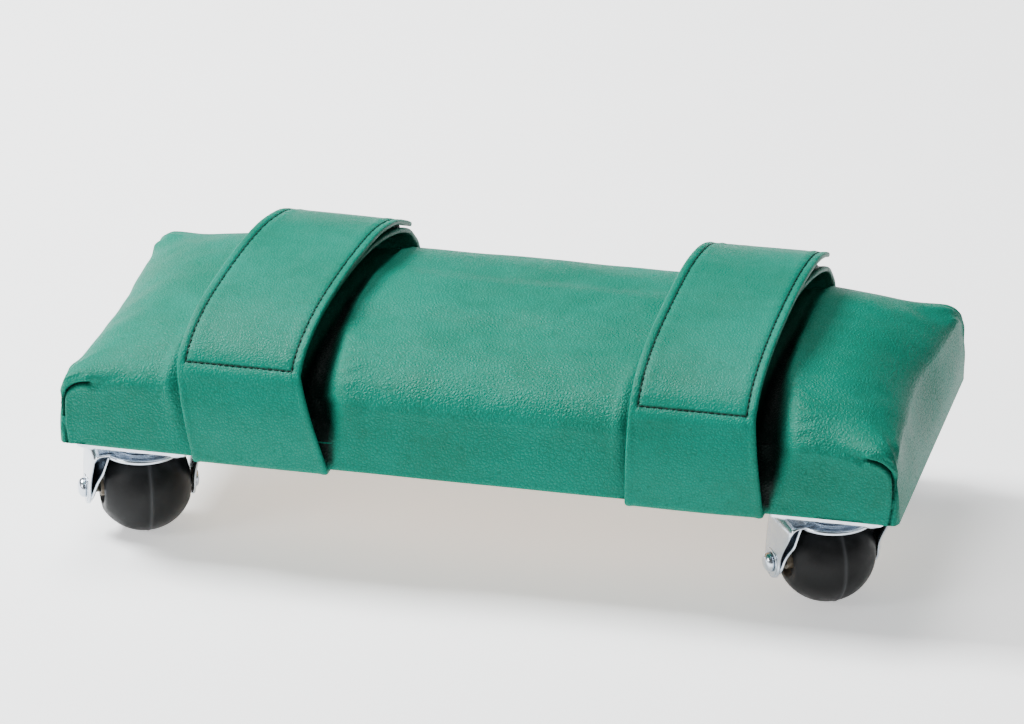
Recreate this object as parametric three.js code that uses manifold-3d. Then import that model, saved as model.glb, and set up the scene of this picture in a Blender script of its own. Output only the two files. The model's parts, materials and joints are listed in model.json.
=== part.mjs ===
// A small padded board on four ball casters, with two wide hook-and-loop strap loops over its top.
// Millimetres, +Z up. The origin is on the floor under the middle of the board.
// X runs along the board, Y from its front edge to its rear edge.
import * as THREE from 'three';
import { mergeVertices } from 'three/addons/utils/BufferGeometryUtils.js';
import Module from 'manifold-3d';

const wasm = await Module();
wasm.setup();

// --- Driving dimensions ---------------------------------------------------------------------
const GAP = 0.3; // clearance between pieces that touch

const deck = {
  length: 430,
  depth: 185,
  underside: 60, // height of the covered underside above the floor
  boardThickness: 12,
  edgeHeight: 34, // height of the upright sides above the underside
  crownHeight: 61, // height of the middle of the pad above the underside
  crownPower: 4, // how square the pad's shoulders are in plan
  crownEase: 0.58, // how quickly the top falls towards its edges
  coverThickness: 1.5,
  hemWidth: 30, // how far the cover turns in under the board
};

const strap = {
  thickness: 2.4,
  tapeThickness: 1.4,
  width: 64,
  rearWidth: 68,
  tapeWidth: 54,
  footWidth: 70, // width where the front band leaves the underside
  faceY: 95.8, // outer face of the bands in front of and behind the board
  footInset: 58, // where the bands end under the board, measured from the middle
  creaseHeight: 49.2, // height of the front crease above the underside
  creaseY: -90.6,
  tailY: 92.5,
};

// Middle of each strap along X: where it leaves the underside, at its crease and at its rear end.
const straps = {
  left: { foot: -109.5, crease: -121.2, tail: -107 },
  right: { foot: 112.5, crease: 110.3, tail: 112.6 },
};

const caster = {
  axisX: 178,
  axisY: 70,
  plateLength: 58,
  plateDepth: 42,
  plateThickness: 2,
  plateCorner: 4,
  screwX: 22,
  screwY: 15,
  screwRadius: 2.1,
  screwHeadRadius: 4.2,
  screwHeadHeight: 2.2,
  screwLength: 13,
  raceRadius: 14.5,
  kingpinRadius: 4,
  kingpinHeadRadius: 5,
  crownRadius: 20.5,
  crownTop: 53.2,
  sheet: 2, // thickness of the fork's pressed steel
  ballRadius: 25,
  trail: 14, // distance from the swivel axis back to the wheel's axis
  ballOffset: 3, // the ball's middle lies this far towards the plain arm
  ballFlatNear: 22, // ball's middle to its flat face beside the channel arm
  ballFlatFar: 23, // ball's middle to its flat face beside the plain arm
  channelOuter: -27, // outer face of the channel arm
  plainOuter: 28.8, // outer face of the plain arm
  axleRadius: 3,
  axleHeadRadius: 5,
  axleHeadLength: 3.6,
  bushRadius: 5,
  armDepth: 22,
};

// Heading of each caster: degrees its axle has turned from the board's length.
const casters = {
  front_left: { side: -1, end: -1, heading: 26 },
  front_right: { side: 1, end: -1, heading: 35 },
  rear_left: { side: -1, end: 1, heading: 200 },
  rear_right: { side: 1, end: 1, heading: 112 },
};

// --- Materials ------------------------------------------------------------------------------
const finish = {
  vinyl: { color: 0x0f9a7c, roughness: 0.45, metalness: 0 },
  plywood: { color: 0xc79f6b, roughness: 0.7, metalness: 0 },
  foam: { color: 0xe9dfb4, roughness: 0.95, metalness: 0 },
  tape: { color: 0x141816, roughness: 0.95, metalness: 0 },
  zinc: { color: 0xc4cad2, roughness: 0.3, metalness: 1 },
  rubber: { color: 0x17191b, roughness: 0.6, metalness: 0 },
  nylon: { color: 0x8d7f6c, roughness: 0.6, metalness: 0 },
};

const part = new THREE.Group();

function addPiece(name, geometry, look, parent = part) {
  const mesh = new THREE.Mesh(geometry, new THREE.MeshStandardMaterial(finish[look]));
  mesh.name = name;
  parent.add(mesh);
  return mesh;
}

// --- Solids: joining and cutting ----------------------------------------------------------------
function toSolid(geometry) {
  const bare = geometry.clone();
  bare.deleteAttribute('normal');
  bare.deleteAttribute('uv');
  const merged = mergeVertices(bare, 1e-4);
  return new wasm.Manifold(new wasm.Mesh({
    numProp: 3,
    vertProperties: new Float32Array(merged.attributes.position.array),
    triVerts: new Uint32Array(merged.index.array),
  }));
}

function toGeometry(solid) {
  const mesh = solid.getMesh();
  const geometry = new THREE.BufferGeometry();
  geometry.setAttribute('position', new THREE.BufferAttribute(mesh.vertProperties, 3));
  geometry.setIndex(new THREE.BufferAttribute(mesh.triVerts, 1));
  geometry.computeVertexNormals();
  return geometry;
}

const join = (...geometries) => toGeometry(
  geometries.map(toSolid).reduce((whole, piece) => whole.add(piece)));

const cut = (geometry, ...tools) => toGeometry(
  tools.map(toSolid).reduce((whole, tool) => whole.subtract(tool), toSolid(geometry)));

const common = (first, second) => toGeometry(toSolid(first).intersect(toSolid(second)));

// --- Basic shapes -------------------------------------------------------------------------------
function box(low, high) {
  const size = high.map((value, i) => value - low[i]);
  const middle = high.map((value, i) => (value + low[i]) / 2);
  return new THREE.BoxGeometry(...size).translate(...middle);
}

// An upright cylinder between two heights.
function post(radius, bottom, top, x = 0, y = 0, sides = 12) {
  return new THREE.CylinderGeometry(radius, radius, top - bottom, sides)
    .rotateX(Math.PI / 2)
    .translate(x, y, (top + bottom) / 2);
}

// A cylinder along X between two places.
function rod(radius, start, end, y, z, sides = 12) {
  return new THREE.CylinderGeometry(radius, radius, end - start, sides)
    .rotateZ(Math.PI / 2)
    .translate((start + end) / 2, y, z);
}

const turned = (profile, sides) => new THREE.LatheGeometry(
  profile.map(([radius, height]) => new THREE.Vector2(radius, height)), sides).rotateX(Math.PI / 2);

// Extrude an outline drawn in Y and Z along X.
function alongX(shape, start, end) {
  const placed = new THREE.Matrix4().makeBasis(
    new THREE.Vector3(0, 1, 0), new THREE.Vector3(0, 0, 1), new THREE.Vector3(1, 0, 0));
  return new THREE.ExtrudeGeometry(shape, { depth: end - start, bevelEnabled: false })
    .applyMatrix4(placed)
    .translate(start, 0, 0);
}

// Extrude an outline drawn in X and Z from a front place to a back place along Y.
const alongY = (shape, front, back) => new THREE.ExtrudeGeometry(
  shape, { depth: back - front, bevelEnabled: false }).rotateX(Math.PI / 2).translate(0, back, 0);

const outline = (...points) => new THREE.Shape(points.map(([a, b]) => new THREE.Vector2(a, b)));

function moveVertices(geometry, place) {
  const position = geometry.attributes.position;
  const point = new THREE.Vector3();
  for (let i = 0; i < position.count; i += 1) {
    point.fromBufferAttribute(position, i);
    place(point);
    position.setXYZ(i, point.x, point.y, point.z);
  }
  return geometry;
}

// --- Padded deck ----------------------------------------------------------------------------------
// Height of the pad above the floor, inset by the given distance from its outer skin.
function padHeight(x, y, inset) {
  const fall = (value, half) => (1 - Math.min(1, Math.abs(value / half)) ** deck.crownPower)
    ** deck.crownEase;
  const rise = deck.crownHeight - deck.edgeHeight;
  return deck.underside + deck.edgeHeight - inset
    + rise * fall(x, deck.length / 2 - inset) * fall(y, deck.depth / 2 - inset);
}

// A block with upright sides and a crowned top. Its grid is closer towards the edges.
function crownedBlock(inset, bottom) {
  const block = new THREE.BoxGeometry(2, 2, 1, 14, 10, 1);
  return moveVertices(block, (point) => {
    point.x = Math.sin(point.x * Math.PI / 2) * (deck.length / 2 - inset);
    point.y = Math.sin(point.y * Math.PI / 2) * (deck.depth / 2 - inset);
    point.z = point.z < 0 ? bottom : padHeight(point.x, point.y, inset);
  });
}

function screwPlaces() {
  const places = [];
  for (const { side, end } of Object.values(casters)) {
    for (const [dx, dy] of [[-1, -1], [1, -1], [1, 1], [-1, 1]]) {
      places.push([side * caster.axisX + dx * caster.screwX, end * caster.axisY + dy * caster.screwY]);
    }
  }
  return places;
}

function buildDeck() {
  const hemTop = deck.underside + deck.coverThickness;
  const boardBottom = hemTop + GAP;
  const boardTop = boardBottom + deck.boardThickness;
  const inner = deck.coverThickness + GAP;
  const holes = screwPlaces().map(([x, y]) => post(
    caster.screwRadius + GAP, deck.underside - 1, deck.underside + caster.screwLength, x, y, 8));
  const halfLength = deck.length / 2;
  const halfDepth = deck.depth / 2;

  const opening = box(
    [-halfLength + deck.hemWidth, -halfDepth + deck.hemWidth, deck.underside - 1],
    [halfLength - deck.hemWidth, halfDepth - deck.hemWidth, hemTop + 1]);
  addPiece('vinyl_cover', cut(
    crownedBlock(0, deck.underside), crownedBlock(deck.coverThickness, hemTop), opening, ...holes), 'vinyl');

  const board = box(
    [-halfLength + inner, -halfDepth + inner, boardBottom],
    [halfLength - inner, halfDepth - inner, boardTop]);
  addPiece('deck_board', cut(board, ...holes), 'plywood');
  addPiece('foam_pad', crownedBlock(inner, boardTop + GAP), 'foam');
}

// --- Straps ---------------------------------------------------------------------------------------
// Side view of the front flap's outer face, from the crease to its free end.
const flapArch = new THREE.SplineCurve([
  [strap.creaseY, strap.creaseHeight], [-84.5, 57], [-72, 64.2], [-52, 69.8], [-22, 73.8],
  [10, 75.6], [36, 75.2], [60, 72], [78, 66], [88, 58.8], [strap.tailY, 52],
].map(([y, z]) => new THREE.Vector2(y, z + deck.underside)));

// Points of the flap's arch between two shares of its length, lowered along its normal.
function archPoints(start, end, drop, steps) {
  const points = [];
  for (let i = 0; i <= steps; i += 1) {
    const share = start + (end - start) * i / steps;
    const place = flapArch.getPointAt(share);
    const along = flapArch.getTangentAt(share);
    points.push(new THREE.Vector2(place.x + along.y * drop, place.y - along.x * drop));
  }
  return points;
}

// Points from the underside round the board's lower edge and up its face. `face` is -1 in front.
function footPoints(face) {
  const low = deck.underside - GAP - strap.thickness;
  const bend = strap.thickness + GAP;
  const middleY = strap.faceY - bend;
  const points = [new THREE.Vector2(face * strap.footInset, low)];
  for (let i = 0; i <= 3; i += 1) {
    const angle = Math.PI / 2 * i / 3;
    points.push(new THREE.Vector2(
      face * (middleY + bend * Math.sin(angle)), deck.underside - bend * Math.cos(angle)));
  }
  return points;
}

// A flat band seen from its side: the line given is its outer face, to the left of its inner face.
function bandShape(outer, thickness) {
  const inner = outer.map((point, i) => {
    const before = outer[Math.max(0, i - 1)];
    const after = outer[Math.min(outer.length - 1, i + 1)];
    const along = after.clone().sub(before).normalize();
    return new THREE.Vector2(point.x + along.y * thickness, point.y - along.x * thickness);
  });
  return new THREE.Shape([...outer, ...inner.reverse()]);
}

// Give a band its width and lean it sideways: `middle` and `width` depend on the place.
const drape = (shape, middle, width) => moveVertices(alongX(shape, -0.5, 0.5), (point) => {
  point.x = middle(point) + point.x * width(point);
});

function buildStrap(side, plan) {
  const lerp = THREE.MathUtils.mapLinear;
  const clamp = THREE.MathUtils.clamp;
  const creaseZ = deck.underside + strap.creaseHeight;
  const topMiddle = (point) => lerp(
    clamp(point.y, strap.creaseY, strap.tailY), strap.creaseY, strap.tailY, plan.crease, plan.tail);
  const upTheFront = (point) => lerp(
    clamp(point.z, deck.underside, creaseZ), deck.underside, creaseZ, 0, 1);

  const front = [
    ...footPoints(-1),
    ...[[-strap.faceY, 30], [-95.2, 40], [-91.2, 48.4]]
      .map(([y, z]) => new THREE.Vector2(y, z + deck.underside)),
  ];
  addPiece(`front_band_${side}`, drape(
    bandShape(front, strap.thickness),
    (point) => lerp(upTheFront(point), 0, 1, plan.foot, plan.crease),
    (point) => lerp(upTheFront(point), 0, 1, strap.footWidth, strap.width)), 'vinyl');

  addPiece(`front_flap_${side}`, drape(
    bandShape(archPoints(0, 1, 0, 22), strap.thickness), topMiddle, () => strap.width), 'vinyl');

  const hookDrop = strap.thickness + GAP;
  addPiece(`hook_tape_${side}`, drape(
    bandShape(archPoints(0.06, 0.92, hookDrop, 16), strap.tapeThickness),
    topMiddle, () => strap.tapeWidth), 'tape');

  const loopDrop = hookDrop + strap.tapeThickness + GAP;
  addPiece(`loop_tape_${side}`, drape(
    bandShape(archPoints(0.12, 0.92, loopDrop, 16), strap.tapeThickness),
    topMiddle, () => strap.tapeWidth), 'tape');

  const rearDrop = loopDrop + strap.tapeThickness + GAP;
  const rear = [
    ...archPoints(0.1, 0.94, rearDrop, 16),
    ...[[91, 46.5], [95.4, 36], [strap.faceY, 24]]
      .map(([y, z]) => new THREE.Vector2(y, z + deck.underside)),
    ...footPoints(1).reverse(),
  ];
  addPiece(`rear_band_${side}`, drape(
    bandShape(rear, strap.thickness), topMiddle, () => strap.rearWidth), 'vinyl');
}

// --- Casters --------------------------------------------------------------------------------------
const plateTop = deck.underside - GAP;
const plateBottom = plateTop - caster.plateThickness;
const crownBottom = caster.crownTop - caster.sheet;

// The pressed fork: a round crown, a hollow channel arm on one side and a plain arm on the other.
// It is drawn with the axle along X and the wheel trailing towards +Y.
function forkGeometry() {
  const { channelOuter, plainOuter, trail, sheet, armDepth, ballRadius, crownTop } = caster;
  const back = trail + armDepth / 2 - 2;
  const front = back - armDepth;
  const crown = post(caster.crownRadius, crownBottom, crownTop, 0, 0, 24);
  const shoulder = box([channelOuter, front, crownBottom], [plainOuter, back, crownTop]);

  const channel = alongY(outline(
    [channelOuter, 16], [-21, 16], [-20.6, 28], [-13, crownBottom], [-13, crownTop], [channelOuter, crownTop]),
    front, back);
  const hollow = alongY(outline(
    [channelOuter + sheet, 30], [-22.6, 30], [-15.5, crownBottom], [channelOuter + sheet, crownBottom]),
    front - 1, back - sheet);
  const plain = box([plainOuter - sheet, front, 16], [plainOuter, back, crownTop]);

  // Side view of both arms: wide at the crown, round about the axle.
  const side = new THREE.Shape();
  side.moveTo(front, crownTop);
  side.lineTo(trail - 8, ballRadius);
  side.absarc(trail, ballRadius, 8, Math.PI, 2 * Math.PI, false);
  side.lineTo(back, crownTop);
  const arms = join(channel, plain);
  const shaped = common(arms, alongX(side, channelOuter - 1, plainOuter + 1));

  const ballRoom = new THREE.SphereGeometry(ballRadius + 0.9, 20, 12)
    .translate(caster.ballOffset, trail, ballRadius);
  return cut(
    join(shaped, crown, shoulder), hollow, ballRoom,
    rod(caster.axleRadius + GAP, channelOuter - 1, plainOuter + 1, trail, ballRadius),
    post(caster.kingpinRadius + GAP, crownBottom - 1, crownTop + 1));
}

// A rubber ball with flat flanks and a bore for its bush.
function ballGeometry() {
  const { ballRadius, ballFlatNear, ballFlatFar, bushRadius, ballOffset, trail } = caster;
  const bore = bushRadius + GAP;
  const profile = [[bore, -ballFlatNear]];
  const start = Math.asin(-ballFlatNear / ballRadius);
  const end = Math.asin(ballFlatFar / ballRadius);
  const steps = 10;
  for (let i = 0; i <= steps; i += 1) {
    const angle = start + (end - start) * i / steps;
    profile.push([ballRadius * Math.cos(angle), ballRadius * Math.sin(angle)]);
  }
  profile.push([bore, ballFlatFar], [bore, -ballFlatNear]);
  return turned(profile, 20).rotateY(Math.PI / 2).translate(ballOffset, trail, ballRadius);
}

function axleGeometry() {
  const { channelOuter, plainOuter, axleRadius, axleHeadRadius, axleHeadLength } = caster;
  const near = channelOuter - GAP;
  const far = plainOuter + GAP;
  const dome = axleHeadRadius * 0.6;
  return turned([
    [0, near - axleHeadLength], [dome, near - axleHeadLength], [axleHeadRadius, near - 1.6],
    [axleHeadRadius, near], [axleRadius, near], [axleRadius, far], [axleHeadRadius, far],
    [axleHeadRadius, far + 1.2], [dome, far + 2.2], [0, far + 2.2],
  ], 12).rotateY(Math.PI / 2).translate(0, caster.trail, caster.ballRadius);
}

function bushGeometry() {
  const { axleRadius, bushRadius, ballOffset, trail, ballRadius } = caster;
  const near = -caster.ballFlatNear - 0.6;
  const far = caster.ballFlatFar + 0.3;
  return turned([
    [axleRadius + GAP, near], [bushRadius, near], [bushRadius, far],
    [axleRadius + GAP, far], [axleRadius + GAP, near],
  ], 12).rotateY(Math.PI / 2).translate(ballOffset, trail, ballRadius);
}

function plateGeometry() {
  const { plateLength, plateDepth, plateCorner } = caster;
  const x = plateLength / 2 - plateCorner;
  const y = plateDepth / 2 - plateCorner;
  const shape = new THREE.Shape();
  shape.absarc(x, y, plateCorner, 0, Math.PI / 2, false);
  shape.absarc(-x, y, plateCorner, Math.PI / 2, Math.PI, false);
  shape.absarc(-x, -y, plateCorner, Math.PI, 1.5 * Math.PI, false);
  shape.absarc(x, -y, plateCorner, 1.5 * Math.PI, 2 * Math.PI, false);
  const plate = new THREE.ExtrudeGeometry(
    shape, { depth: caster.plateThickness, bevelEnabled: false, curveSegments: 3 })
    .translate(0, 0, plateBottom);
  const tools = [post(caster.kingpinRadius + GAP, plateBottom - 1, plateTop + 1)];
  for (const [dx, dy] of [[-1, -1], [1, -1], [1, 1], [-1, 1]]) {
    tools.push(post(caster.screwRadius + GAP, plateBottom - 1, plateTop + 1,
      dx * caster.screwX, dy * caster.screwY, 8));
  }
  return cut(plate, ...tools);
}

function raceGeometry() {
  const top = plateBottom - GAP;
  const bottom = caster.crownTop + GAP;
  const bore = caster.kingpinRadius + GAP;
  return turned([
    [bore, bottom], [caster.raceRadius, bottom], [caster.raceRadius - 0.6, bottom + 2],
    [caster.raceRadius - 2.5, top], [bore, top], [bore, bottom],
  ], 20);
}

function kingpinGeometry() {
  const { kingpinRadius, kingpinHeadRadius } = caster;
  const headTop = crownBottom - GAP;
  return turned([
    [0, headTop - 1.6], [kingpinHeadRadius * 0.6, headTop - 1.6], [kingpinHeadRadius, headTop - 0.6],
    [kingpinHeadRadius, headTop], [kingpinRadius, headTop], [kingpinRadius, plateTop - GAP],
    [0, plateTop - GAP],
  ], 12);
}

function screwGeometry() {
  const { screwRadius, screwHeadRadius, screwHeadHeight, screwLength } = caster;
  const seat = plateBottom - GAP;
  const tip = deck.underside + screwLength - 1;
  return turned([
    [0, seat - screwHeadHeight], [screwHeadRadius * 0.6, seat - screwHeadHeight],
    [screwHeadRadius, seat - 0.5], [screwHeadRadius, seat], [screwRadius, seat],
    [screwRadius, tip - 3], [0, tip],
  ], 8);
}

function buildCaster(name, { side, end, heading }) {
  const station = new THREE.Group();
  station.position.set(side * caster.axisX, end * caster.axisY, 0);
  part.add(station);
  addPiece(`${name}_caster_plate`, plateGeometry(), 'zinc', station);
  addPiece(`${name}_bearing_race`, raceGeometry(), 'zinc', station);
  addPiece(`${name}_kingpin`, kingpinGeometry(), 'zinc', station);
  [[-1, -1], [1, -1], [1, 1], [-1, 1]].forEach(([dx, dy], i) => {
    const screw = addPiece(`${name}_plate_screw_${i + 1}`, screwGeometry(), 'zinc', station);
    screw.position.set(dx * caster.screwX, dy * caster.screwY, 0);
  });

  const swivel = new THREE.Group();
  swivel.rotation.z = THREE.MathUtils.degToRad(heading);
  station.add(swivel);
  addPiece(`${name}_fork`, forkGeometry(), 'zinc', swivel);
  addPiece(`${name}_axle`, axleGeometry(), 'zinc', swivel);
  addPiece(`${name}_ball_wheel`, ballGeometry(), 'rubber', swivel);
  addPiece(`${name}_wheel_bush`, bushGeometry(), 'nylon', swivel);
}

// --- Assembly -------------------------------------------------------------------------------------
buildDeck();
for (const [side, plan] of Object.entries(straps)) buildStrap(side, plan);
for (const [name, place] of Object.entries(casters)) buildCaster(name, place);
part.updateMatrixWorld(true);

export default part;
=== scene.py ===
"""Looks of a small padded rolling board: a vinyl-covered pad with two strap loops on four ball casters.

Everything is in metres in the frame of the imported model: +X along the board, +Y to its rear, +Z up.
"""
import json
import logging
import math
from dataclasses import dataclass, field
from enum import Enum
from typing import Callable

import bmesh
import bpy
import numpy as np
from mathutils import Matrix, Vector
from mathutils.kdtree import KDTree


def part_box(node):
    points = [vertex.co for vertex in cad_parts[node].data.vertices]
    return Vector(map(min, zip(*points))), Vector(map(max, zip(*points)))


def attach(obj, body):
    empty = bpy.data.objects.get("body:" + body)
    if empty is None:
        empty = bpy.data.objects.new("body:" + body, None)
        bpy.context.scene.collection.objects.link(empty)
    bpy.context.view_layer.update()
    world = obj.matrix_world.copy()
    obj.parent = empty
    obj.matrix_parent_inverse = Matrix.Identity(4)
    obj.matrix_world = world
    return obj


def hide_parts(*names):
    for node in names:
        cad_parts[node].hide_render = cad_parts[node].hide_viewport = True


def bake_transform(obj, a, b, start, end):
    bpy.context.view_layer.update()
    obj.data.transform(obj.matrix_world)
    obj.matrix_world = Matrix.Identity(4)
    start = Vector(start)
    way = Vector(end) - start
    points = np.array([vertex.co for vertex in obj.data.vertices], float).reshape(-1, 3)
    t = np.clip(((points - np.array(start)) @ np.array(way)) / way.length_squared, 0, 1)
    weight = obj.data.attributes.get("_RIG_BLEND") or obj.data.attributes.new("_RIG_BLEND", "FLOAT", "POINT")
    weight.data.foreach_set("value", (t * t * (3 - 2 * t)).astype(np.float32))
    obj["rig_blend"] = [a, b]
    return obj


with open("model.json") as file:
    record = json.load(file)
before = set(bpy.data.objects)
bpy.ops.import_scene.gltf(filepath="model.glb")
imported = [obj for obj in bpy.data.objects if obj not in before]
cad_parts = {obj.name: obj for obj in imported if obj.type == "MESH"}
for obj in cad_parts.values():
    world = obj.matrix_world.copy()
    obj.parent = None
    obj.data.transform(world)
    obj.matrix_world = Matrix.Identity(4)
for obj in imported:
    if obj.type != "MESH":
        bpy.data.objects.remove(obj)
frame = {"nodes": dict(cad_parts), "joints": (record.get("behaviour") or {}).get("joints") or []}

LOG = logging.getLogger("padded_board")
MM = 0.001
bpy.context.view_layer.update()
Colour = tuple[float, float, float, float]
Face = tuple[int, ...]


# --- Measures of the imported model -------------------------
def reach_across(node: str, axis: int, highest: bool) -> tuple[float, float]:
    """Reach along X of a CAD node at one end of it.

    Args:
        node: Name of the CAD node.
        axis: Axis along which the end lies, 0 to 2.
        highest: True for the end with the larger coordinate.

    Returns:
        The lowest and highest X of the vertices at that end.
    """
    points = np.array([v.co for v in frame["nodes"][node].data.vertices], float)
    end = points[:, axis].max() if highest else points[:, axis].min()
    near = points[np.abs(points[:, axis] - end) < 0.4 * MM]
    return float(near[:, 0].min()), float(near[:, 0].max())


def middle(span: tuple[float, float]) -> float:
    """Middle of a span."""
    return (span[0] + span[1]) / 2


def joint_named(name: str) -> dict:
    """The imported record's joint of that name."""
    return next(j for j in frame["joints"] if j["name"] == name)


# --- Numbers that vary smoothly over a surface ------------
def smooth_step(value: np.ndarray, low: float, high: float) -> np.ndarray:
    """Rise smoothly from 0 to 1.

    Args:
        value: The values.
        low: Where the rise starts.
        high: Where it ends.

    Returns:
        How far each value has risen.
    """
    t = np.clip((value - low) / (high - low), 0.0, 1.0)
    return t * t * (3 - 2 * t)


def hump(value: np.ndarray, centre: float, width: float) -> np.ndarray:
    """A bell of height 1 at the centre, about a width wide each way."""
    return np.exp(-(((value - centre) / width) ** 2))


def ripple(a: np.ndarray, b: np.ndarray, wavelength: float, seed: int) -> np.ndarray:
    """Smooth irregular waves over two coordinates.

    Args:
        a: First coordinate of each point.
        b: Second coordinate of each point.
        wavelength: Usual distance from one crest to the next.
        seed: Number that picks the pattern.

    Returns:
        A height from about -1 to 1 for each point.
    """
    dice = np.random.default_rng(seed)
    total = np.zeros_like(a)
    waves = 7
    for _ in range(waves):
        heading = dice.uniform(0, math.tau)
        turns = math.tau / (wavelength * dice.uniform(0.7, 1.5))
        total += np.sin((a * math.cos(heading) + b * math.sin(heading)) * turns + dice.uniform(0, math.tau))
    return total / math.sqrt(waves) * 0.8


def distance_to_curve(points: np.ndarray, curve: np.ndarray) -> tuple[np.ndarray, np.ndarray]:
    """Distance of points from a curve of straight pieces.

    Args:
        points: The points.
        curve: The curve's corners.

    Returns:
        Each point's distance, and its nearest place along the curve as a share from 0 to 1.
    """
    best = np.full(len(points), 1e9)
    share = np.zeros(len(points))
    pieces = len(curve) - 1
    for i in range(pieces):
        run = curve[i + 1] - curve[i]
        t = np.clip((points - curve[i]) @ run / (run @ run), 0, 1)
        away = np.linalg.norm(points - (curve[i] + t[:, None] * run), axis=1)
        nearer = away < best
        best = np.where(nearer, away, best)
        share = np.where(nearer, (i + t) / pieces, share)
    return best, share


# --- Meshes -----------------------------------------------
def new_object(name: str, points: np.ndarray, faces: list[Face]) -> bpy.types.Object:
    """Make a mesh object, shaded as one curved skin, from points and faces.

    Args:
        name: Name of the piece.
        points: Array of points, one row each.
        faces: Corner numbers of each face, turning so that it faces out.

    Returns:
        The new object, linked to the scene.
    """
    mesh = bpy.data.meshes.new(name)
    mesh.from_pydata([tuple(p) for p in points], [], faces)
    mesh.update()
    for polygon in mesh.polygons:
        polygon.use_smooth = True
    piece = bpy.data.objects.new(name, mesh)
    bpy.context.scene.collection.objects.link(piece)
    return piece


def joined_faces(rings: int, count: int, closed_rings: bool = False) -> list[Face]:
    """Quads between successive closed rings of points.

    Args:
        rings: Number of rings.
        count: Number of points in each ring.
        closed_rings: Whether the last ring meets the first.

    Returns:
        The faces' corner numbers.
    """
    faces = []
    for i in range(rings if closed_rings else rings - 1):
        here, there = i * count, (i + 1) % rings * count
        for j in range(count):
            k = (j + 1) % count
            faces.append((here + j, there + j, there + k, here + k))
    return faces


def strip_faces(rings: int, row: int) -> list[Face]:
    """Faces of a closed flat strip, each of whose rings is a row of points out and a row back.

    Args:
        rings: Number of rings.
        row: Number of points in each row.

    Returns:
        The faces' corner numbers.
    """
    total = 2 * row
    faces = joined_faces(rings, total)
    for base, way in ((0, 1), ((rings - 1) * total, -1)):
        for j in range(row - 1):
            quad = (base + j, base + j + 1, base + total - 2 - j, base + total - 1 - j)
            faces.append(quad[::way])
    return faces


def shifted(faces: list[Face], start: int) -> list[Face]:
    """The same faces, with their corners numbered from start."""
    return [tuple(corner + start for corner in face) for face in faces]


def turned(name: str, profile: list[tuple[float, float]], segments: int,
           place: Callable[[np.ndarray], np.ndarray],
           radius_at: Callable[[int, float, float], float] | None = None) -> bpy.types.Object:
    """Turn a closed profile about an axis, as on a lathe.

    Args:
        name: Name of the piece.
        profile: Radius and distance along the axis of each point. It closes on itself, or on the axis
            where its first and last radius are 0.
        segments: Number of steps round the axis.
        place: Moves points from (distance along the axis, across, across) to the frame.
        radius_at: Where the piece isn't round, gives a point's radius from its number, radius and angle.

    Returns:
        The new object.
    """
    on_axis = profile[0][0] == 0
    ring = profile[1:-1] if on_axis else profile
    points = []
    for angle in np.linspace(0, math.tau, segments, endpoint=False):
        for number, (radius, z) in enumerate(ring):
            reach = radius_at(number, radius, angle) if radius_at else radius
            points.append((z, reach * math.cos(angle), reach * math.sin(angle)))
    count = len(ring)
    faces = []
    for i in range(segments):
        here, there = i * count, (i + 1) % segments * count
        for j in range(count - 1 if on_axis else count):
            k = (j + 1) % count
            faces.append((here + j, here + k, there + k, there + j))
    if on_axis:
        first, last = len(points), len(points) + 1
        points += [(profile[0][1], 0, 0), (profile[-1][1], 0, 0)]
        for i in range(segments):
            here, there = i * count, (i + 1) % segments * count
            faces.append((first, here, there))
            faces.append((last, there + count - 1, here + count - 1))
    return new_object(name, place(np.array(points)), faces)


def in_mm(outline: list[tuple[float, float]], start: float = 0.0) -> list[tuple[float, float]]:
    """A turned outline that is given in millimetres, in metres from a start on its axis."""
    return [(radius * MM, start + along * MM) for radius, along in outline]


class Line:
    """A smooth line in one plane, measured along its length."""

    def __init__(self, points: np.ndarray) -> None:
        """Keep the points, spaced evenly and closely."""
        gaps = np.linalg.norm(np.diff(points, axis=0), axis=1)
        along = np.concatenate([[0], np.cumsum(gaps)])
        self.length = float(along[-1])
        self.steps = np.linspace(0, self.length, int(self.length / (0.25 * MM)) + 2)
        line = np.column_stack([np.interp(self.steps, along, points[:, k]) for k in (0, 1)])
        for _ in range(12):
            line[1:-1] = (line[:-2] + 2 * line[1:-1] + line[2:]) / 4
        self.line = line
        slope = np.gradient(line, axis=0)
        self.slope = slope / np.linalg.norm(slope, axis=1)[:, None]

    def at(self, along: np.ndarray) -> tuple[np.ndarray, np.ndarray]:
        """Points at distances along the line, and the direction to its left there.

        Args:
            along: Distances from the line's start.

        Returns:
            The points, and the unit direction to the left of the line at each.
        """
        point = np.column_stack([np.interp(along, self.steps, self.line[:, k]) for k in (0, 1)])
        slope = np.column_stack([np.interp(along, self.steps, self.slope[:, k]) for k in (0, 1)])
        slope /= np.linalg.norm(slope, axis=1)[:, None]
        return point, np.column_stack([-slope[:, 1], slope[:, 0]])

    def nearest(self, point: tuple[float, float]) -> float:
        """Distance along the line of its point nearest to the one given."""
        return float(self.steps[np.argmin(np.linalg.norm(self.line - np.array(point), axis=1))])


def through(points: list[tuple[float, float]]) -> np.ndarray:
    """A closely spaced smooth curve through a few points.

    Args:
        points: The points that it passes through.

    Returns:
        Points along a Catmull-Rom curve.
    """
    given = np.array(points, float)
    ends = np.vstack([2 * given[0] - given[1], given, 2 * given[-1] - given[-2]])
    t = np.linspace(0, 1, 20, endpoint=False)[:, None]
    runs = []
    for p0, p1, p2, p3 in zip(ends, ends[1:], ends[2:], ends[3:]):
        runs.append(0.5 * (2 * p1 + (p2 - p0) * t + (2 * p0 - 5 * p1 + 4 * p2 - p3) * t ** 2
                           + (3 * p1 - p0 - 3 * p2 + p3) * t ** 3))
    return np.vstack([*runs, given[-1:]])


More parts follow.
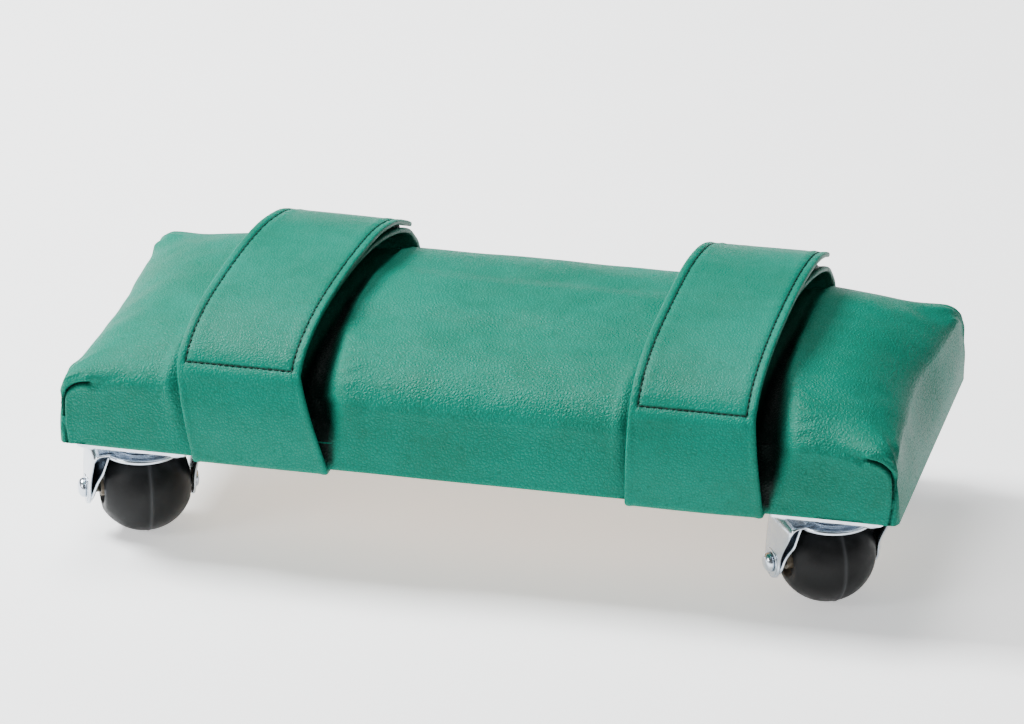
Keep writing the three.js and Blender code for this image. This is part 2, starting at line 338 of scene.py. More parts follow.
# --- Shader nodes -----------------------------------------
class Sketch:
    """Adds nodes to a node tree in few words."""

    def __init__(self, tree: bpy.types.NodeTree) -> None:
        """Draw in this node tree."""
        self.tree = tree

    def add(self, kind: str, inputs: dict | None = None, **settings: object) -> bpy.types.Node:
        """Add one node.

        Args:
            kind: The node's type, without its ShaderNode prefix.
            inputs: For each input, by name or number, a value or the socket that feeds it.
            settings: The node's own properties.

        Returns:
            The new node.
        """
        node = self.tree.nodes.new("ShaderNode" + kind)
        for key, value in settings.items():
            setattr(node, key, value)
        self.fill(node, inputs or {})
        return node

    def fill(self, node: bpy.types.Node, inputs: dict) -> None:
        """Set a node's inputs.

        Args:
            node: The node.
            inputs: For each input, by name or number, a value or the socket that feeds it.
        """
        for key, value in inputs.items():
            if isinstance(value, bpy.types.NodeSocket):
                self.tree.links.new(value, node.inputs[key])
            else:
                node.inputs[key].default_value = value

    def place(self) -> bpy.types.NodeSocket:
        """Places in the piece's own axes."""
        return self.add("TexCoord").outputs["Object"]

    def bump(self, height: bpy.types.NodeSocket, strength: float, distance: float,
             invert: bool = False) -> bpy.types.NodeSocket:
        """Normals bent by a height."""
        return self.add("Bump", {"Height": height, "Strength": strength, "Distance": distance},
                        invert=invert).outputs[0]

    def math(self, operation: str, first: object, second: object = 0.0) -> bpy.types.NodeSocket:
        """A sum of two values or sockets, with the operation's name in Blender."""
        return self.add("Math", {0: first, 1: second}, operation=operation).outputs[0]

    def ramp(self, value: object, low: float, high: float, to_low: float = 0.0,
             to_high: float = 1.0) -> bpy.types.NodeSocket:
        """Map a value smoothly from one range to another.

        Args:
            value: The value or socket.
            low: Where its range starts.
            high: Where its range ends.
            to_low: What low becomes.
            to_high: What high becomes.

        Returns:
            The socket of the new value.
        """
        node = self.add("MapRange", {0: value, 1: low, 2: high, 3: to_low, 4: to_high},
                        interpolation_type="SMOOTHSTEP")
        return node.outputs[0]

    def mix(self, share: object, first: object, second: object) -> bpy.types.NodeSocket:
        """Mix two colours, with as much of the second as the share says."""
        return self.add("Mix", {0: share, 6: first, 7: second}, data_type="RGBA").outputs[2]

    def noise(self, place: object, scale: object, detail: float = 3.0) -> bpy.types.NodeSocket:
        """Plain noise over a place."""
        return self.add("TexNoise", {"Vector": place, "Scale": scale, "Detail": detail}).outputs[0]


class Effect(Enum):
    """Surface effects that more than one finish uses, each a shader node group."""

    GRAIN = "Leather grain"
    MOTTLE = "Mottle"
    EDGE_WEAR = "Edge wear"
    DUST = "Dust"


class EffectShelf:
    """Builds each shared effect once and puts it into materials."""

    def __init__(self) -> None:
        """Start with no effect built."""
        self.built: dict[Effect, bpy.types.NodeTree] = {}

    def place(self, sketch: Sketch, effect: Effect, values: dict) -> bpy.types.Node:
        """Put an effect into a material.

        Args:
            sketch: The material's nodes.
            effect: Which effect.
            values: Values or sockets for its inputs, by name.

        Returns:
            The group node, whose outputs carry the effect.
        """
        if effect not in self.built:
            makers = {Effect.GRAIN: self.make_grain, Effect.MOTTLE: self.make_mottle,
                      Effect.EDGE_WEAR: self.make_edge_wear, Effect.DUST: self.make_dust}
            self.built[effect] = makers[effect]()
        node = sketch.tree.nodes.new("ShaderNodeGroup")
        node.node_tree = self.built[effect]
        sketch.fill(node, values)
        return node

    @staticmethod
    def start(effect: Effect, inputs: dict, outputs: list[str]) -> tuple[Sketch, dict, bpy.types.Node]:
        """Begin a node group.

        Args:
            effect: The effect, which names the group.
            inputs: Name and first value of each input. A tuple is a colour.
            outputs: Name of each output. Those that end in Color are colours.

        Returns:
            The group's nodes, its input sockets by name, and its output node.
        """
        tree = bpy.data.node_groups.new(effect.value, "ShaderNodeTree")
        for name, value in inputs.items():
            kind = "NodeSocketColor" if isinstance(value, tuple) else "NodeSocketFloat"
            tree.interface.new_socket(name=name, in_out="INPUT", socket_type=kind).default_value = value
        for name in outputs:
            kind = "NodeSocketColor" if name.endswith("Color") else "NodeSocketFloat"
            tree.interface.new_socket(name=name, in_out="OUTPUT", socket_type=kind)
        given = tree.nodes.new("NodeGroupInput")
        wanted = tree.nodes.new("NodeGroupOutput")
        return Sketch(tree), {s.name: s for s in given.outputs if s.name}, wanted

    def make_grain(self) -> bpy.types.NodeTree:
        """Pebbled leather grain: rounded cells parted by fine creases.

        Returns:
            The node group.
        """
        sketch, given, wanted = self.start(
            Effect.GRAIN, {"Scale": 600.0, "Crease": 0.12}, ["Height", "Creases"])
        place = sketch.place()
        bend = sketch.add("TexNoise", {
            "Vector": place, "Scale": sketch.math("MULTIPLY", given["Scale"], 0.6)})
        bent = sketch.add("VectorMath", {0: bend.outputs["Color"], 1: (0.0011, 0.0011, 0.0011)},
                          operation="MULTIPLY").outputs[0]
        moved = sketch.add("VectorMath", {0: place, 1: bent}, operation="ADD").outputs[0]
        cells = sketch.add("TexVoronoi", {"Vector": moved, "Scale": given["Scale"]},
                           feature="DISTANCE_TO_EDGE").outputs["Distance"]
        fine = sketch.add("TexVoronoi", {
            "Vector": moved, "Scale": sketch.math("MULTIPLY", given["Scale"], 2.3)},
                          feature="DISTANCE_TO_EDGE").outputs["Distance"]
        domes = sketch.math("MULTIPLY", sketch.ramp(cells, 0.0, 0.42), 0.75)
        pores = sketch.math("MULTIPLY", sketch.ramp(fine, 0.0, 0.3), 0.25)
        creases = sketch.ramp(cells, given["Crease"], 0.0)
        sketch.fill(wanted, {"Height": sketch.math("ADD", domes, pores), "Creases": creases})
        return sketch.tree

    def make_mottle(self) -> bpy.types.NodeTree:
        """Cloudy change between two colours at a broad and a fine scale.

        Returns:
            The node group.
        """
        sketch, given, wanted = self.start(
            Effect.MOTTLE, {"First": (1.0, 1.0, 1.0, 1.0), "Second": (0.5, 0.5, 0.5, 1.0), "Scale": 30.0,
                            "Contrast": 1.0}, ["Color", "Share"])
        place = sketch.place()
        broad = sketch.noise(place, given["Scale"], 2.0)
        fine = sketch.noise(place, sketch.math("MULTIPLY", given["Scale"], 9.0), 4.0)
        both = sketch.math("ADD", sketch.math("MULTIPLY", broad, 0.7), sketch.math("MULTIPLY", fine, 0.3))
        share = sketch.math("MULTIPLY", sketch.ramp(both, 0.35, 0.65), given["Contrast"])
        sketch.fill(wanted, {"Color": sketch.mix(share, given["First"], given["Second"]), "Share": share})
        return sketch.tree

    def make_edge_wear(self) -> bpy.types.NodeTree:
        """Broken patches on outward edges.

        Returns:
            The node group.
        """
        sketch, given, wanted = self.start(Effect.EDGE_WEAR, {"Amount": 0.5, "Scale": 300.0}, ["Mask"])
        place = sketch.place()
        edges = sketch.ramp(sketch.add("NewGeometry").outputs["Pointiness"], 0.52, 0.62)
        patches = sketch.ramp(sketch.noise(place, given["Scale"], 5.0), 0.4, 0.65)
        mask = sketch.math("MULTIPLY", sketch.math("MULTIPLY", edges, patches), given["Amount"])
        sketch.fill(wanted, {"Mask": mask})
        return sketch.tree

    def make_dust(self) -> bpy.types.NodeTree:
        """A thin film that settles on what faces up.

        Returns:
            The node group.
        """
        sketch, given, wanted = self.start(Effect.DUST, {"Amount": 0.3, "Scale": 90.0}, ["Mask"])
        place = sketch.place()
        normal = sketch.add("NewGeometry").outputs["Normal"]
        up = sketch.add("SeparateXYZ", {0: normal}).outputs["Z"]
        film = sketch.math("MULTIPLY", sketch.ramp(up, 0.1, 0.95), sketch.ramp(
            sketch.noise(place, given["Scale"], 6.0), 0.42, 0.68))
        sketch.fill(wanted, {"Mask": sketch.math("MULTIPLY", film, given["Amount"])})
        return sketch.tree


SHELF = EffectShelf()


def new_material(name: str) -> tuple[bpy.types.Material, Sketch, bpy.types.Node]:
    """Start a node material.

    Args:
        name: The material's name.

    Returns:
        The material, its nodes, and its Principled shader, already joined to the output.
    """
    material = bpy.data.materials.new(name)
    material.use_nodes = True
    material.node_tree.nodes.clear()
    sketch = Sketch(material.node_tree)
    shader = sketch.add("BsdfPrincipled")
    sketch.add("OutputMaterial", {"Surface": shader.outputs[0]})
    return material, sketch, shader


# --- Finishes ---------------------------------------------
@dataclass(frozen=True)
class Vinyl:
    """Green upholstery vinyl with a pressed leather grain, darkened with painted shade in the grain's
    creases and wherever a point attribute marks painted shade.
    """

    name: str
    deep: Colour = (0.0, 0.14, 0.09, 1.0)
    bright: Colour = (0.0, 0.178, 0.122, 1.0)
    # Painted shade: colour laid into the grain's creases.
    crease: Colour = (0.0, 0.08, 0.045, 1.0)
    scuff: Colour = (0.005, 0.26, 0.17, 1.0)
    # Painted shade: near-black colour for the folds beside the straps, the dart slits and the stitch
    # grooves.
    painted_shade_colour: Colour = (0.0, 0.005, 0.0035, 1.0)
    grain_scale: float = 560.0
    grain_depth: float = 0.6
    roughness: float = 0.4

    def material(self) -> bpy.types.Material:
        """Build the node material.

        Returns:
            The material.
        """
        material, sketch, shader = new_material(self.name)
        grain = SHELF.place(sketch, Effect.GRAIN, {"Scale": self.grain_scale, "Crease": 0.1})
        cloud = SHELF.place(sketch, Effect.MOTTLE, {
            "First": self.deep, "Second": self.bright, "Scale": 14.0, "Contrast": 0.9})
        wear = SHELF.place(sketch, Effect.EDGE_WEAR, {"Amount": 0.35, "Scale": 260.0})
        dust = SHELF.place(sketch, Effect.DUST, {"Amount": 0.07, "Scale": 60.0})
        # Painted shade: the grain's creases are darkened towards the crease colour.
        grain_crease_shaded = sketch.mix(sketch.math("MULTIPLY", grain.outputs["Creases"], 0.55),
                             cloud.outputs["Color"], self.crease)
        worn = sketch.mix(wear.outputs["Mask"], grain_crease_shaded, self.scuff)
        dusty = sketch.mix(dust.outputs["Mask"], worn, (0.05, 0.24, 0.18, 1.0))
        # Painted shade: a point attribute darkens the vinyl towards near-black in the folds beside the
        # straps, the dart slits and the stitch grooves.
        painted_shade_mixed = sketch.mix(sketch.add("Attribute", attribute_name="painted_shade").outputs["Fac"], dusty, self.painted_shade_colour)
        rough = sketch.math("ADD", sketch.math("MULTIPLY", grain.outputs["Creases"], 0.2),
                            sketch.math("ADD", sketch.math("MULTIPLY", cloud.outputs["Share"], 0.07),
                                        self.roughness))
        sketch.fill(shader, {"Base Color": painted_shade_mixed, "Roughness": rough, "Specular IOR Level": 0.13,
                             "Normal": sketch.bump(grain.outputs["Height"], self.grain_depth, 0.5 * MM)})
        return material


@dataclass(frozen=True)
class Metal:
    """Bright zinc-plated pressed steel."""

    name: str
    light: Colour = (0.62, 0.68, 0.75, 1.0)
    dark: Colour = (0.5, 0.56, 0.64, 1.0)
    roughness: float = 0.2

    def material(self) -> bpy.types.Material:
        """Build the node material.

        Returns:
            The material.
        """
        material, sketch, shader = new_material(self.name)
        cloud = SHELF.place(sketch, Effect.MOTTLE, {
            "First": self.light, "Second": self.dark, "Scale": 120.0, "Contrast": 0.6})
        wear = SHELF.place(sketch, Effect.EDGE_WEAR, {"Amount": 0.6, "Scale": 420.0})
        dust = SHELF.place(sketch, Effect.DUST, {"Amount": 0.2, "Scale": 200.0})
        worn = sketch.mix(wear.outputs["Mask"], cloud.outputs["Color"], (0.86, 0.88, 0.9, 1.0))
        drawn = sketch.add("Mapping", {"Vector": sketch.place(), "Scale": (1.0, 1.0, 0.12)}).outputs[0]
        brushed = sketch.noise(drawn, 1900.0, 4.0)
        rough = sketch.math("ADD", sketch.math("MULTIPLY", cloud.outputs["Share"], 0.06),
                            sketch.math("ADD", sketch.math("MULTIPLY", dust.outputs["Mask"], 0.3),
                                        self.roughness))
        sketch.fill(shader, {"Base Color": worn, "Roughness": rough, "Metallic": 1.0,
                             "Normal": sketch.bump(brushed, 0.06, 0.1 * MM)})
        return material


@dataclass(frozen=True)
class Rubber:
    """Black moulded rubber, dulled where it rolls."""

    name: str
    fresh: Colour = (0.003, 0.0032, 0.0035, 1.0)
    dull: Colour = (0.008, 0.0085, 0.009, 1.0)
    film: Colour = (0.03, 0.031, 0.033, 1.0)
    flash: Colour = (0.035, 0.037, 0.039, 1.0)

    def material(self) -> bpy.types.Material:
        """Build the node material.

        Returns:
            The material.
        """
        material, sketch, shader = new_material(self.name)
        cloud = SHELF.place(sketch, Effect.MOTTLE, {
            "First": self.fresh, "Second": self.dull, "Scale": 110.0, "Contrast": 0.9})
        dust = SHELF.place(sketch, Effect.DUST, {"Amount": 0.25, "Scale": 160.0})
        wear = SHELF.place(sketch, Effect.EDGE_WEAR, {"Amount": 0.5, "Scale": 500.0})
        dusty = sketch.mix(dust.outputs["Mask"], cloud.outputs["Color"], self.film)
        worn = sketch.mix(wear.outputs["Mask"], dusty, self.film)
        seamed = sketch.mix(sketch.add("Attribute", attribute_name="seam").outputs["Fac"], worn, self.flash)
        rough = sketch.math("ADD", sketch.math("MULTIPLY", cloud.outputs["Share"], 0.2), 0.4)
        skin = sketch.noise(sketch.place(), 1500.0, 5.0)
        sketch.fill(shader, {"Base Color": seamed, "Roughness": rough, "Specular IOR Level": 0.2,
                             "Normal": sketch.bump(skin, 0.12, 0.2 * MM)})
        return material


@dataclass(frozen=True)
class Nap:
    """Woven tape covered in hooks or loops."""

    name: str
    pile_scale: float
    ground: Colour = (0.006, 0.008, 0.0075, 1.0)
    pile: Colour = (0.018, 0.021, 0.02, 1.0)

    def material(self) -> bpy.types.Material:
        """Build the node material.

        Returns:
            The material.
        """
        material, sketch, shader = new_material(self.name)
        tufts = sketch.add("TexVoronoi", {
            "Vector": sketch.place(), "Scale": self.pile_scale}).outputs["Distance"]
        cloud = SHELF.place(sketch, Effect.MOTTLE, {
            "First": self.ground, "Second": self.pile, "Scale": 200.0, "Contrast": 1.0})
        tipped = sketch.mix(sketch.ramp(tufts, 0.5, 0.1), cloud.outputs["Color"], self.pile)
        sketch.fill(shader, {"Base Color": tipped, "Roughness": 0.95,
                             "Normal": sketch.bump(tufts, 0.9, 0.6 * MM, True)})
        return material


@dataclass(frozen=True)
class Plywood:
    """Sanded plywood with a fine straight grain."""

    name: str
    pale: Colour = (0.62, 0.43, 0.25, 1.0)
    dark: Colour = (0.42, 0.25, 0.12, 1.0)

    def material(self) -> bpy.types.Material:
        """Build the node material.

        Returns:
            The material.
        """
        material, sketch, shader = new_material(self.name)
        long = sketch.add("Mapping", {"Vector": sketch.place(), "Scale": (3.0, 60.0, 60.0)}).outputs[0]
        grain = sketch.add("TexNoise", {
            "Vector": long, "Scale": 4.0, "Detail": 8.0, "Distortion": 1.2}).outputs[0]
        cloud = SHELF.place(sketch, Effect.MOTTLE, {
            "First": self.pale, "Second": (0.55, 0.37, 0.2, 1.0), "Scale": 12.0, "Contrast": 0.8})
        lined = sketch.mix(sketch.ramp(grain, 0.45, 0.7), cloud.outputs["Color"], self.dark)
        sketch.fill(shader, {"Base Color": lined, "Roughness": 0.68,
                             "Normal": sketch.bump(grain, 0.3, 0.3 * MM)})
        return material


@dataclass(frozen=True)
class Thread:
    """Twisted dark sewing thread."""

    name: str
    dark: Colour = (0.001, 0.008, 0.006, 1.0)
    light: Colour = (0.003, 0.022, 0.016, 1.0)

    def material(self) -> bpy.types.Material:
        """Build the node material.

        Returns:
            The material.
        """
        material, sketch, shader = new_material(self.name)
        ply = sketch.add("TexWave", {
            "Vector": sketch.place(), "Scale": 900.0, "Distortion": 2.0}).outputs["Color"]
        cloud = SHELF.place(sketch, Effect.MOTTLE, {
            "First": self.dark, "Second": self.light, "Scale": 300.0, "Contrast": 0.8})
        sketch.fill(shader, {"Base Color": cloud.outputs["Color"], "Roughness": 0.7,
                             "Specular IOR Level": 0.15, "Normal": sketch.bump(ply, 0.4, 0.1 * MM)})
        return material


@dataclass
class Palette:
    """The materials of all the finishes, made once each."""

    pad: bpy.types.Material = field(default_factory=lambda: Vinyl("pad vinyl").material())
    strap: bpy.types.Material = field(default_factory=lambda: Vinyl(
        "strap vinyl", grain_scale=620.0, grain_depth=0.42, roughness=0.38).material())
    thread: bpy.types.Material = field(default_factory=lambda: Thread("sewing thread").material())
    zinc: bpy.types.Material = field(default_factory=lambda: Metal("zinc plate").material())
    rubber: bpy.types.Material = field(default_factory=lambda: Rubber("wheel rubber").material())
    hooks: bpy.types.Material = field(default_factory=lambda: Nap("hook tape", 1400.0).material())
    loops: bpy.types.Material = field(default_factory=lambda: Nap("loop tape", 2600.0).material())
    plywood: bpy.types.Material = field(default_factory=lambda: Plywood("plywood").material())
    nylon: bpy.types.Material = field(default_factory=lambda: Rubber(
        "bush nylon", (0.12, 0.1, 0.07, 1.0), (0.2, 0.17, 0.13, 1.0), (0.25, 0.22, 0.18, 1.0)).material())


def dress(piece: bpy.types.Object, material: bpy.types.Material, body: str | None,
          replaced: tuple[str, ...] = ()) -> bpy.types.Object:
    """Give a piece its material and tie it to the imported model.

    Args:
        piece: The piece.
        material: Its material.
        body: The body it rides on, or None where it bends between two.
        replaced: The CAD nodes that it stands for.

    Returns:
        The same piece.
    """
    piece.data.materials.clear()
    piece.data.materials.append(material)
    if body:
        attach(piece, body)
    if replaced:
        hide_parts(*replaced)
    LOG.info("%s: %d faces", piece.name, len(piece.data.polygons))
    return piece


# --- Padded deck ------------------------------------------
@dataclass
class PaddedDeck:
    """Foam pad and plywood board under a pulled vinyl cover, whose hem frames the bare board beneath."""

    edge_height: float = 34 * MM
    crown_power: float = 4.0
    crown_ease: float = 0.58
    hem_width: float = 30 * MM
    cover: float = 1.5 * MM
    start_inset: float = 2.5 * MM
    swell_limit: float = 5.0 * MM
    fullness: float = 0.6 * MM
    voxel: float = 5.0 * MM
    evening: int = 24
    coarse_evening: int = 8
    corner_round: float = 10 * MM
    corner_lift: float = 3.4 * MM
    columns: int = 210
    rows: int = 104
    courses: int = 24

    def __post_init__(self) -> None:
        """Take the pad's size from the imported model."""
        low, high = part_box("vinyl_cover")
        self.half_x = (high.x - low.x) / 2
        self.half_y = (high.y - low.y) / 2
        self.bottom = low.z
        self.crown = high.z - low.z
        board_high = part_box("deck_board")[1]
        self.board = (board_high.x, board_high.y, board_high.z)

    def lattice(self) -> tuple[np.ndarray, list[Face]]:
        """The pad's outer skin as a box lattice, without the middle of its underside.

        Returns:
            Each vertex as shares of the half length, half depth and height, and the faces.
        """
        hem_x = 1 - self.hem_width / self.half_x
        hem_y = 1 - self.hem_width / self.half_y

        def eased(count: int, stop: float) -> np.ndarray:
            """Steps from -1 to 1 that lie closer together at the ends and touch the hem's edge.

            Args:
                count: Number of steps.
                stop: Place of the hem's edge.

            Returns:
                The steps, in order.
            """
            even = np.linspace(-1, 1, count + 1)
            steps = even * (1 + 0.25 * (1 - even ** 2))
            for sign in (-1, 1):
                steps[np.argmin(np.abs(steps - sign * stop))] = sign * stop
            return np.sort(np.concatenate([steps, (0.9996, 0.9985, -0.9985, -0.9996)]))

        us, vs = eased(self.columns, hem_x), eased(self.rows, hem_y)
        ws = np.linspace(0, 1, self.courses + 1)
        end, rear, top = len(us) - 1, len(vs) - 1, len(ws) - 1
        index: dict[tuple[int, int, int], int] = {}
        faces: list[Face] = []

        def quad(*corners: tuple[int, int, int]) -> None:
            """Add one face, and those of its corners that are new."""
            faces.append(tuple(index.setdefault(corner, len(index)) for corner in corners))

        for i in range(end):
            for j in range(rear):
                quad((i, j, top), (i + 1, j, top), (i + 1, j + 1, top), (i, j + 1, top))
                inside = abs(us[i] + us[i + 1]) < 2 * hem_x and abs(vs[j] + vs[j + 1]) < 2 * hem_y
                if not inside:
                    quad((i, j, 0), (i, j + 1, 0), (i + 1, j + 1, 0), (i + 1, j, 0))
        for k in range(top):
            for i in range(end):
                quad((i, 0, k), (i + 1, 0, k), (i + 1, 0, k + 1), (i, 0, k + 1))
                quad((i, rear, k), (i, rear, k + 1), (i + 1, rear, k + 1), (i + 1, rear, k))
            for j in range(rear):
                quad((0, j, k), (0, j, k + 1), (0, j + 1, k + 1), (0, j + 1, k))
                quad((end, j, k), (end, j + 1, k), (end, j + 1, k + 1), (end, j, k + 1))
        return np.array([(us[i], vs[j], ws[k]) for i, j, k in index]), faces

    def shaped(self, shares: np.ndarray, inset: float) -> np.ndarray:
        """Place lattice points on the pad.

        Args:
            shares: Points as shares of the half length, half depth and height.
            inset: Distance inside the finished skin.

        Returns:
            The points in the frame.
        """
        u, v, w = shares.T
        fall_x = (1 - np.minimum(1, np.abs(u)) ** self.crown_power) ** self.crown_ease
        fall_y = (1 - np.minimum(1, np.abs(v)) ** self.crown_power) ** self.crown_ease
        top = self.edge_height + (self.crown - self.edge_height) * fall_x * fall_y - inset
        past = np.clip((np.abs(u) * self.half_x - self.half_x + self.corner_round) / self.corner_round, 0, 1)
        ends = smooth_step(np.abs(v), 1 - 1.5 * self.corner_round / self.half_y, 1.0)
        top -= self.corner_round * (1 - np.sqrt(1 - (0.995 * past) ** 2)) * ends
        top += self.corner_lift * smooth_step(np.abs(u), 0.84, 0.965) * smooth_step(np.abs(v), 0.72, 1.0)
        return np.column_stack([u * (self.half_x - inset), v * (self.half_y - inset), self.bottom + w * top])

    def swell(self, rest: np.ndarray, faces: list[Face]) -> np.ndarray:
        """Blow the cover up with the cloth solver and read how far each point of the pad moves.

        Args:
            rest: The pad's points before it swells.
            faces: Its faces.

        Returns:
            A shift for each point.
        """
        draft = new_object("pad_draft", rest, faces)
        remesh = draft.modifiers.new("even", "REMESH")
        remesh.mode = "VOXEL"
        remesh.voxel_size = self.voxel
        graph = bpy.context.evaluated_depsgraph_get()
        even = bpy.data.meshes.new_from_object(draft.evaluated_get(graph))
        draft.modifiers.clear()
        draft.data = even
        start = np.array([v.co for v in even.vertices])
        pins = draft.vertex_groups.new(name="pins")
        low = np.nonzero(start[:, 2] < self.bottom + 6 * MM)[0]
        pins.add([int(i) for i in low], 1.0, "REPLACE")
        cloth = draft.modifiers.new("cloth", "CLOTH")
        cloth.settings.vertex_group_mass = "pins"
        cloth.settings.use_pressure = True
        cloth.settings.uniform_pressure_force = 4.0
        cloth.settings.effector_weights.gravity = 0.0
        cloth.settings.tension_stiffness = 22.0
        cloth.settings.quality = 6
        scene = bpy.context.scene
        for number in range(1, 21):
            scene.frame_set(number)
        graph = bpy.context.evaluated_depsgraph_get()
        blown = draft.evaluated_get(graph).to_mesh()
        shift = np.array([v.co for v in blown.vertices]) - start
        draft.evaluated_get(graph).to_mesh_clear()
        scene.frame_set(1)
        bpy.data.objects.remove(draft)
        size = np.linalg.norm(shift, axis=1)
        LOG.info("cloth moved %.1f mm at most", size.max() / MM)
        shift *= (np.minimum(size, self.swell_limit) / np.maximum(size, 1e-9))[:, None]
        shift = self.evened(shift, [tuple(p.vertices) for p in even.polygons], self.coarse_evening)
        tree = KDTree(len(start))
        for i, point in enumerate(start):
            tree.insert(point, i)
        tree.balance()
        carried = np.zeros_like(rest)
        for i, point in enumerate(rest):
            near = tree.find_n(point, 5)
            weights = np.array([1 / (d + 0.5 * MM) for _, _, d in near])
            carried[i] = (weights[:, None] * shift[[n for _, n, _ in near]]).sum(0) / weights.sum()
        return self.evened(carried, faces, self.evening)

    @staticmethod
    def evened(shift: np.ndarray, faces: list[Face], rounds: int) -> np.ndarray:
        """Spread a shift evenly over the skin, so that no step of the solver's coarse mesh shows.

        Args:
            shift: A shift for each point.
            faces: The faces, which say what is next to what.
            rounds: How many times it is spread.

        Returns:
            The smoother shift.
        """
        pairs = {(min(a, b), max(a, b)) for face in faces for a, b in zip(face, face[1:] + face[:1])}
        first, second = np.array(sorted(pairs)).T
        count = np.bincount(first, minlength=len(shift)) + np.bincount(second, minlength=len(shift))
        for _ in range(rounds):
            total = np.zeros_like(shift)
            np.add.at(total, first, shift[second])
            np.add.at(total, second, shift[first])
            shift = 0.3 * shift + 0.7 * total / count[:, None]
        return shift

    def pull_in(self, points: np.ndarray, shares: np.ndarray) -> np.ndarray:
        """Draw the sides in between the corners.

        Args:
            points: The pad's points.
            shares: Their lattice shares.

        Returns:
            The moved points.
        """
        u, v, w = shares.T
        out = points.copy()
        end = smooth_step(np.abs(u), 0.82, 1.0)
        side = smooth_step(np.abs(v), 0.7, 1.0)
        high = smooth_step(w, 0.2, 1.2)
        waist = 1 - np.abs(v) ** 2.4
        uneven = 1 + 0.18 * ripple(v * 0.09, w * 0.03, 0.08, 5)
        out[:, 0] -= np.sign(u) * end * high * waist * uneven * 6.5 * MM
        waist = 1 - np.abs(u) ** 3
        out[:, 1] -= np.sign(v) * side * high * waist * 0.8 * MM
        return out

    def press_straps(self, points: np.ndarray, normals: np.ndarray, shares: np.ndarray
                     ) -> tuple[np.ndarray, np.ndarray]:
        """Sink the pad under each strap, and open a deep fold beside its right edge at the front roll, with
        painted shade in the fold.

        Args:
            points: The pad's points.
            normals: Outward directions there.
            shares: Lattice shares.

        Returns:
            The moved points, and how dark the painted shade in the fold is at each.
        """
        out = points.copy()
        painted_shade = np.zeros(len(points))
        x, y, z = points.T
        above = smooth_step(shares[:, 2], 0.0, 0.4)
        for side in ("left", "right"):
            foot = reach_across(f"front_band_{side}", 2, False)
            crease = reach_across(f"front_flap_{side}", 1, False)
            tail = reach_across(f"front_flap_{side}", 1, True)
            up = np.clip((z - self.bottom) / (40 * MM), 0, 1)
            back = np.clip((y + self.half_y) / (2 * self.half_y), 0, 1)
            low = foot[0] + (crease[0] - foot[0]) * up + (tail[0] - crease[0]) * back
            high = foot[1] + (crease[1] - foot[1]) * up + (tail[1] - crease[1]) * back
            under = np.clip((x - low) / (6 * MM), 0, 1) * np.clip((high - x) / (6 * MM), 0, 1)
            roll = hump(y, -self.half_y * 0.97, 34 * MM)
            rear = hump(y, self.half_y * 0.95, 22 * MM)
            left_edge = smooth_step(x, low - 9 * MM, low) * (1 - smooth_step(x, low, low + 12 * MM))
            depth = under * (1.8 + 1.0 * roll + 1.0 * rear) + 0.9 * roll * left_edge
            gape = np.interp(y, np.array([-88, -66, -45, -10, 50]) * MM, [1.0, 0.72, 0.42, 0.2, 0.07])
            gape *= np.clip((z - self.bottom) / (34 * MM), 0, 1) ** 0.8
            width = (1.5 + 15.5 * gape) * MM
            beyond = (x - high) / width
            fold = smooth_step(beyond, -1.4, -0.1) * (1 - smooth_step(beyond, 0.25, 1.25))
            depth += fold * (1.5 + 8.5 * gape)
            # Painted shade: near-black colour in the fold beside the strap's right edge, where the strap's
            # shadow falls.
            painted_shade = np.maximum(painted_shade, smooth_step(beyond, -0.6, -0.1) * (1 - smooth_step(beyond, 0.55, 1.05))
                              * smooth_step(gape, 0.02, 0.22))
            beat = np.sin(y * math.tau / (7.5 * MM) + 2.2 * ripple(x, y, 0.02, 3))
            beside = hump(beyond, 1.5, 0.6) * smooth_step(gape, 0.1, 0.5)
            depth += 0.3 * beat * beside - 0.5 * beside
            depth -= 1.5 * hump(x, low - 5 * MM, 2.6 * MM) * roll * smooth_step(z, 0.066, 0.09)
            depth = np.minimum(depth, 1.1 + 12 * smooth_step(z, self.board[2], self.board[2] + 20 * MM))
            out -= normals * (depth * above * MM)[:, None]
        return out, painted_shade

    def surface_marks(self, points: np.ndarray, normals: np.ndarray, shares: np.ndarray) -> np.ndarray:
        """Add the soft unevenness, drag lines and hem fullness of hand-pulled vinyl.

        Args:
            points: The pad's points.
            normals: Outward directions there.
            shares: Lattice shares.

        Returns:
            The moved points.
        """
        u, v, w = shares.T
        x, y = points[:, 0], points[:, 1]
        above = smooth_step(w, 0.08, 0.5)
        lift = 0.45 * ripple(x, y, 0.09, 11) + 0.16 * ripple(x, y, 0.03, 12)
        near_end = hump(np.abs(u), 0.93, 0.05) * (1 - smooth_step(np.abs(v), 0.8, 1.0))
        drag = np.sin(v * 14 + 1.5 * ripple(x, y, 0.05, 21) + 4 * np.abs(u))
        lift += 0.28 * near_end * drag
        corner = smooth_step(np.abs(u), 0.86, 0.99) * smooth_step(np.abs(v), 0.62, 0.95)
        ray = np.arctan2(1 - np.abs(v), 2.3 * (1 - np.abs(u)) + 0.02)
        lift += 0.4 * corner * np.sin(ray * 9 + 0.6) * smooth_step(w, 0.5, 0.9)
        for side, depth in ((1, 1.3), (-1, 0.8)):
            lead = [(197, -92.4, 34), (189, -92.2, 36.5), (176, -91.4, 41), (158, -90.2, 45)]
            curve = np.array([(side * a * MM, b * MM, self.bottom + c * MM) for a, b, c in lead])
            away, share = distance_to_curve(points, curve)
            lift -= depth * np.exp(-(away / (2.2 * MM)) ** 2) * (1 - 0.85 * share)
            lift += 0.4 * depth * np.exp(-((away - 4 * MM) / (2.4 * MM)) ** 2) * (1 - 0.85 * share)
        face = (np.abs(v) > 0.999) & (w < 0.999)
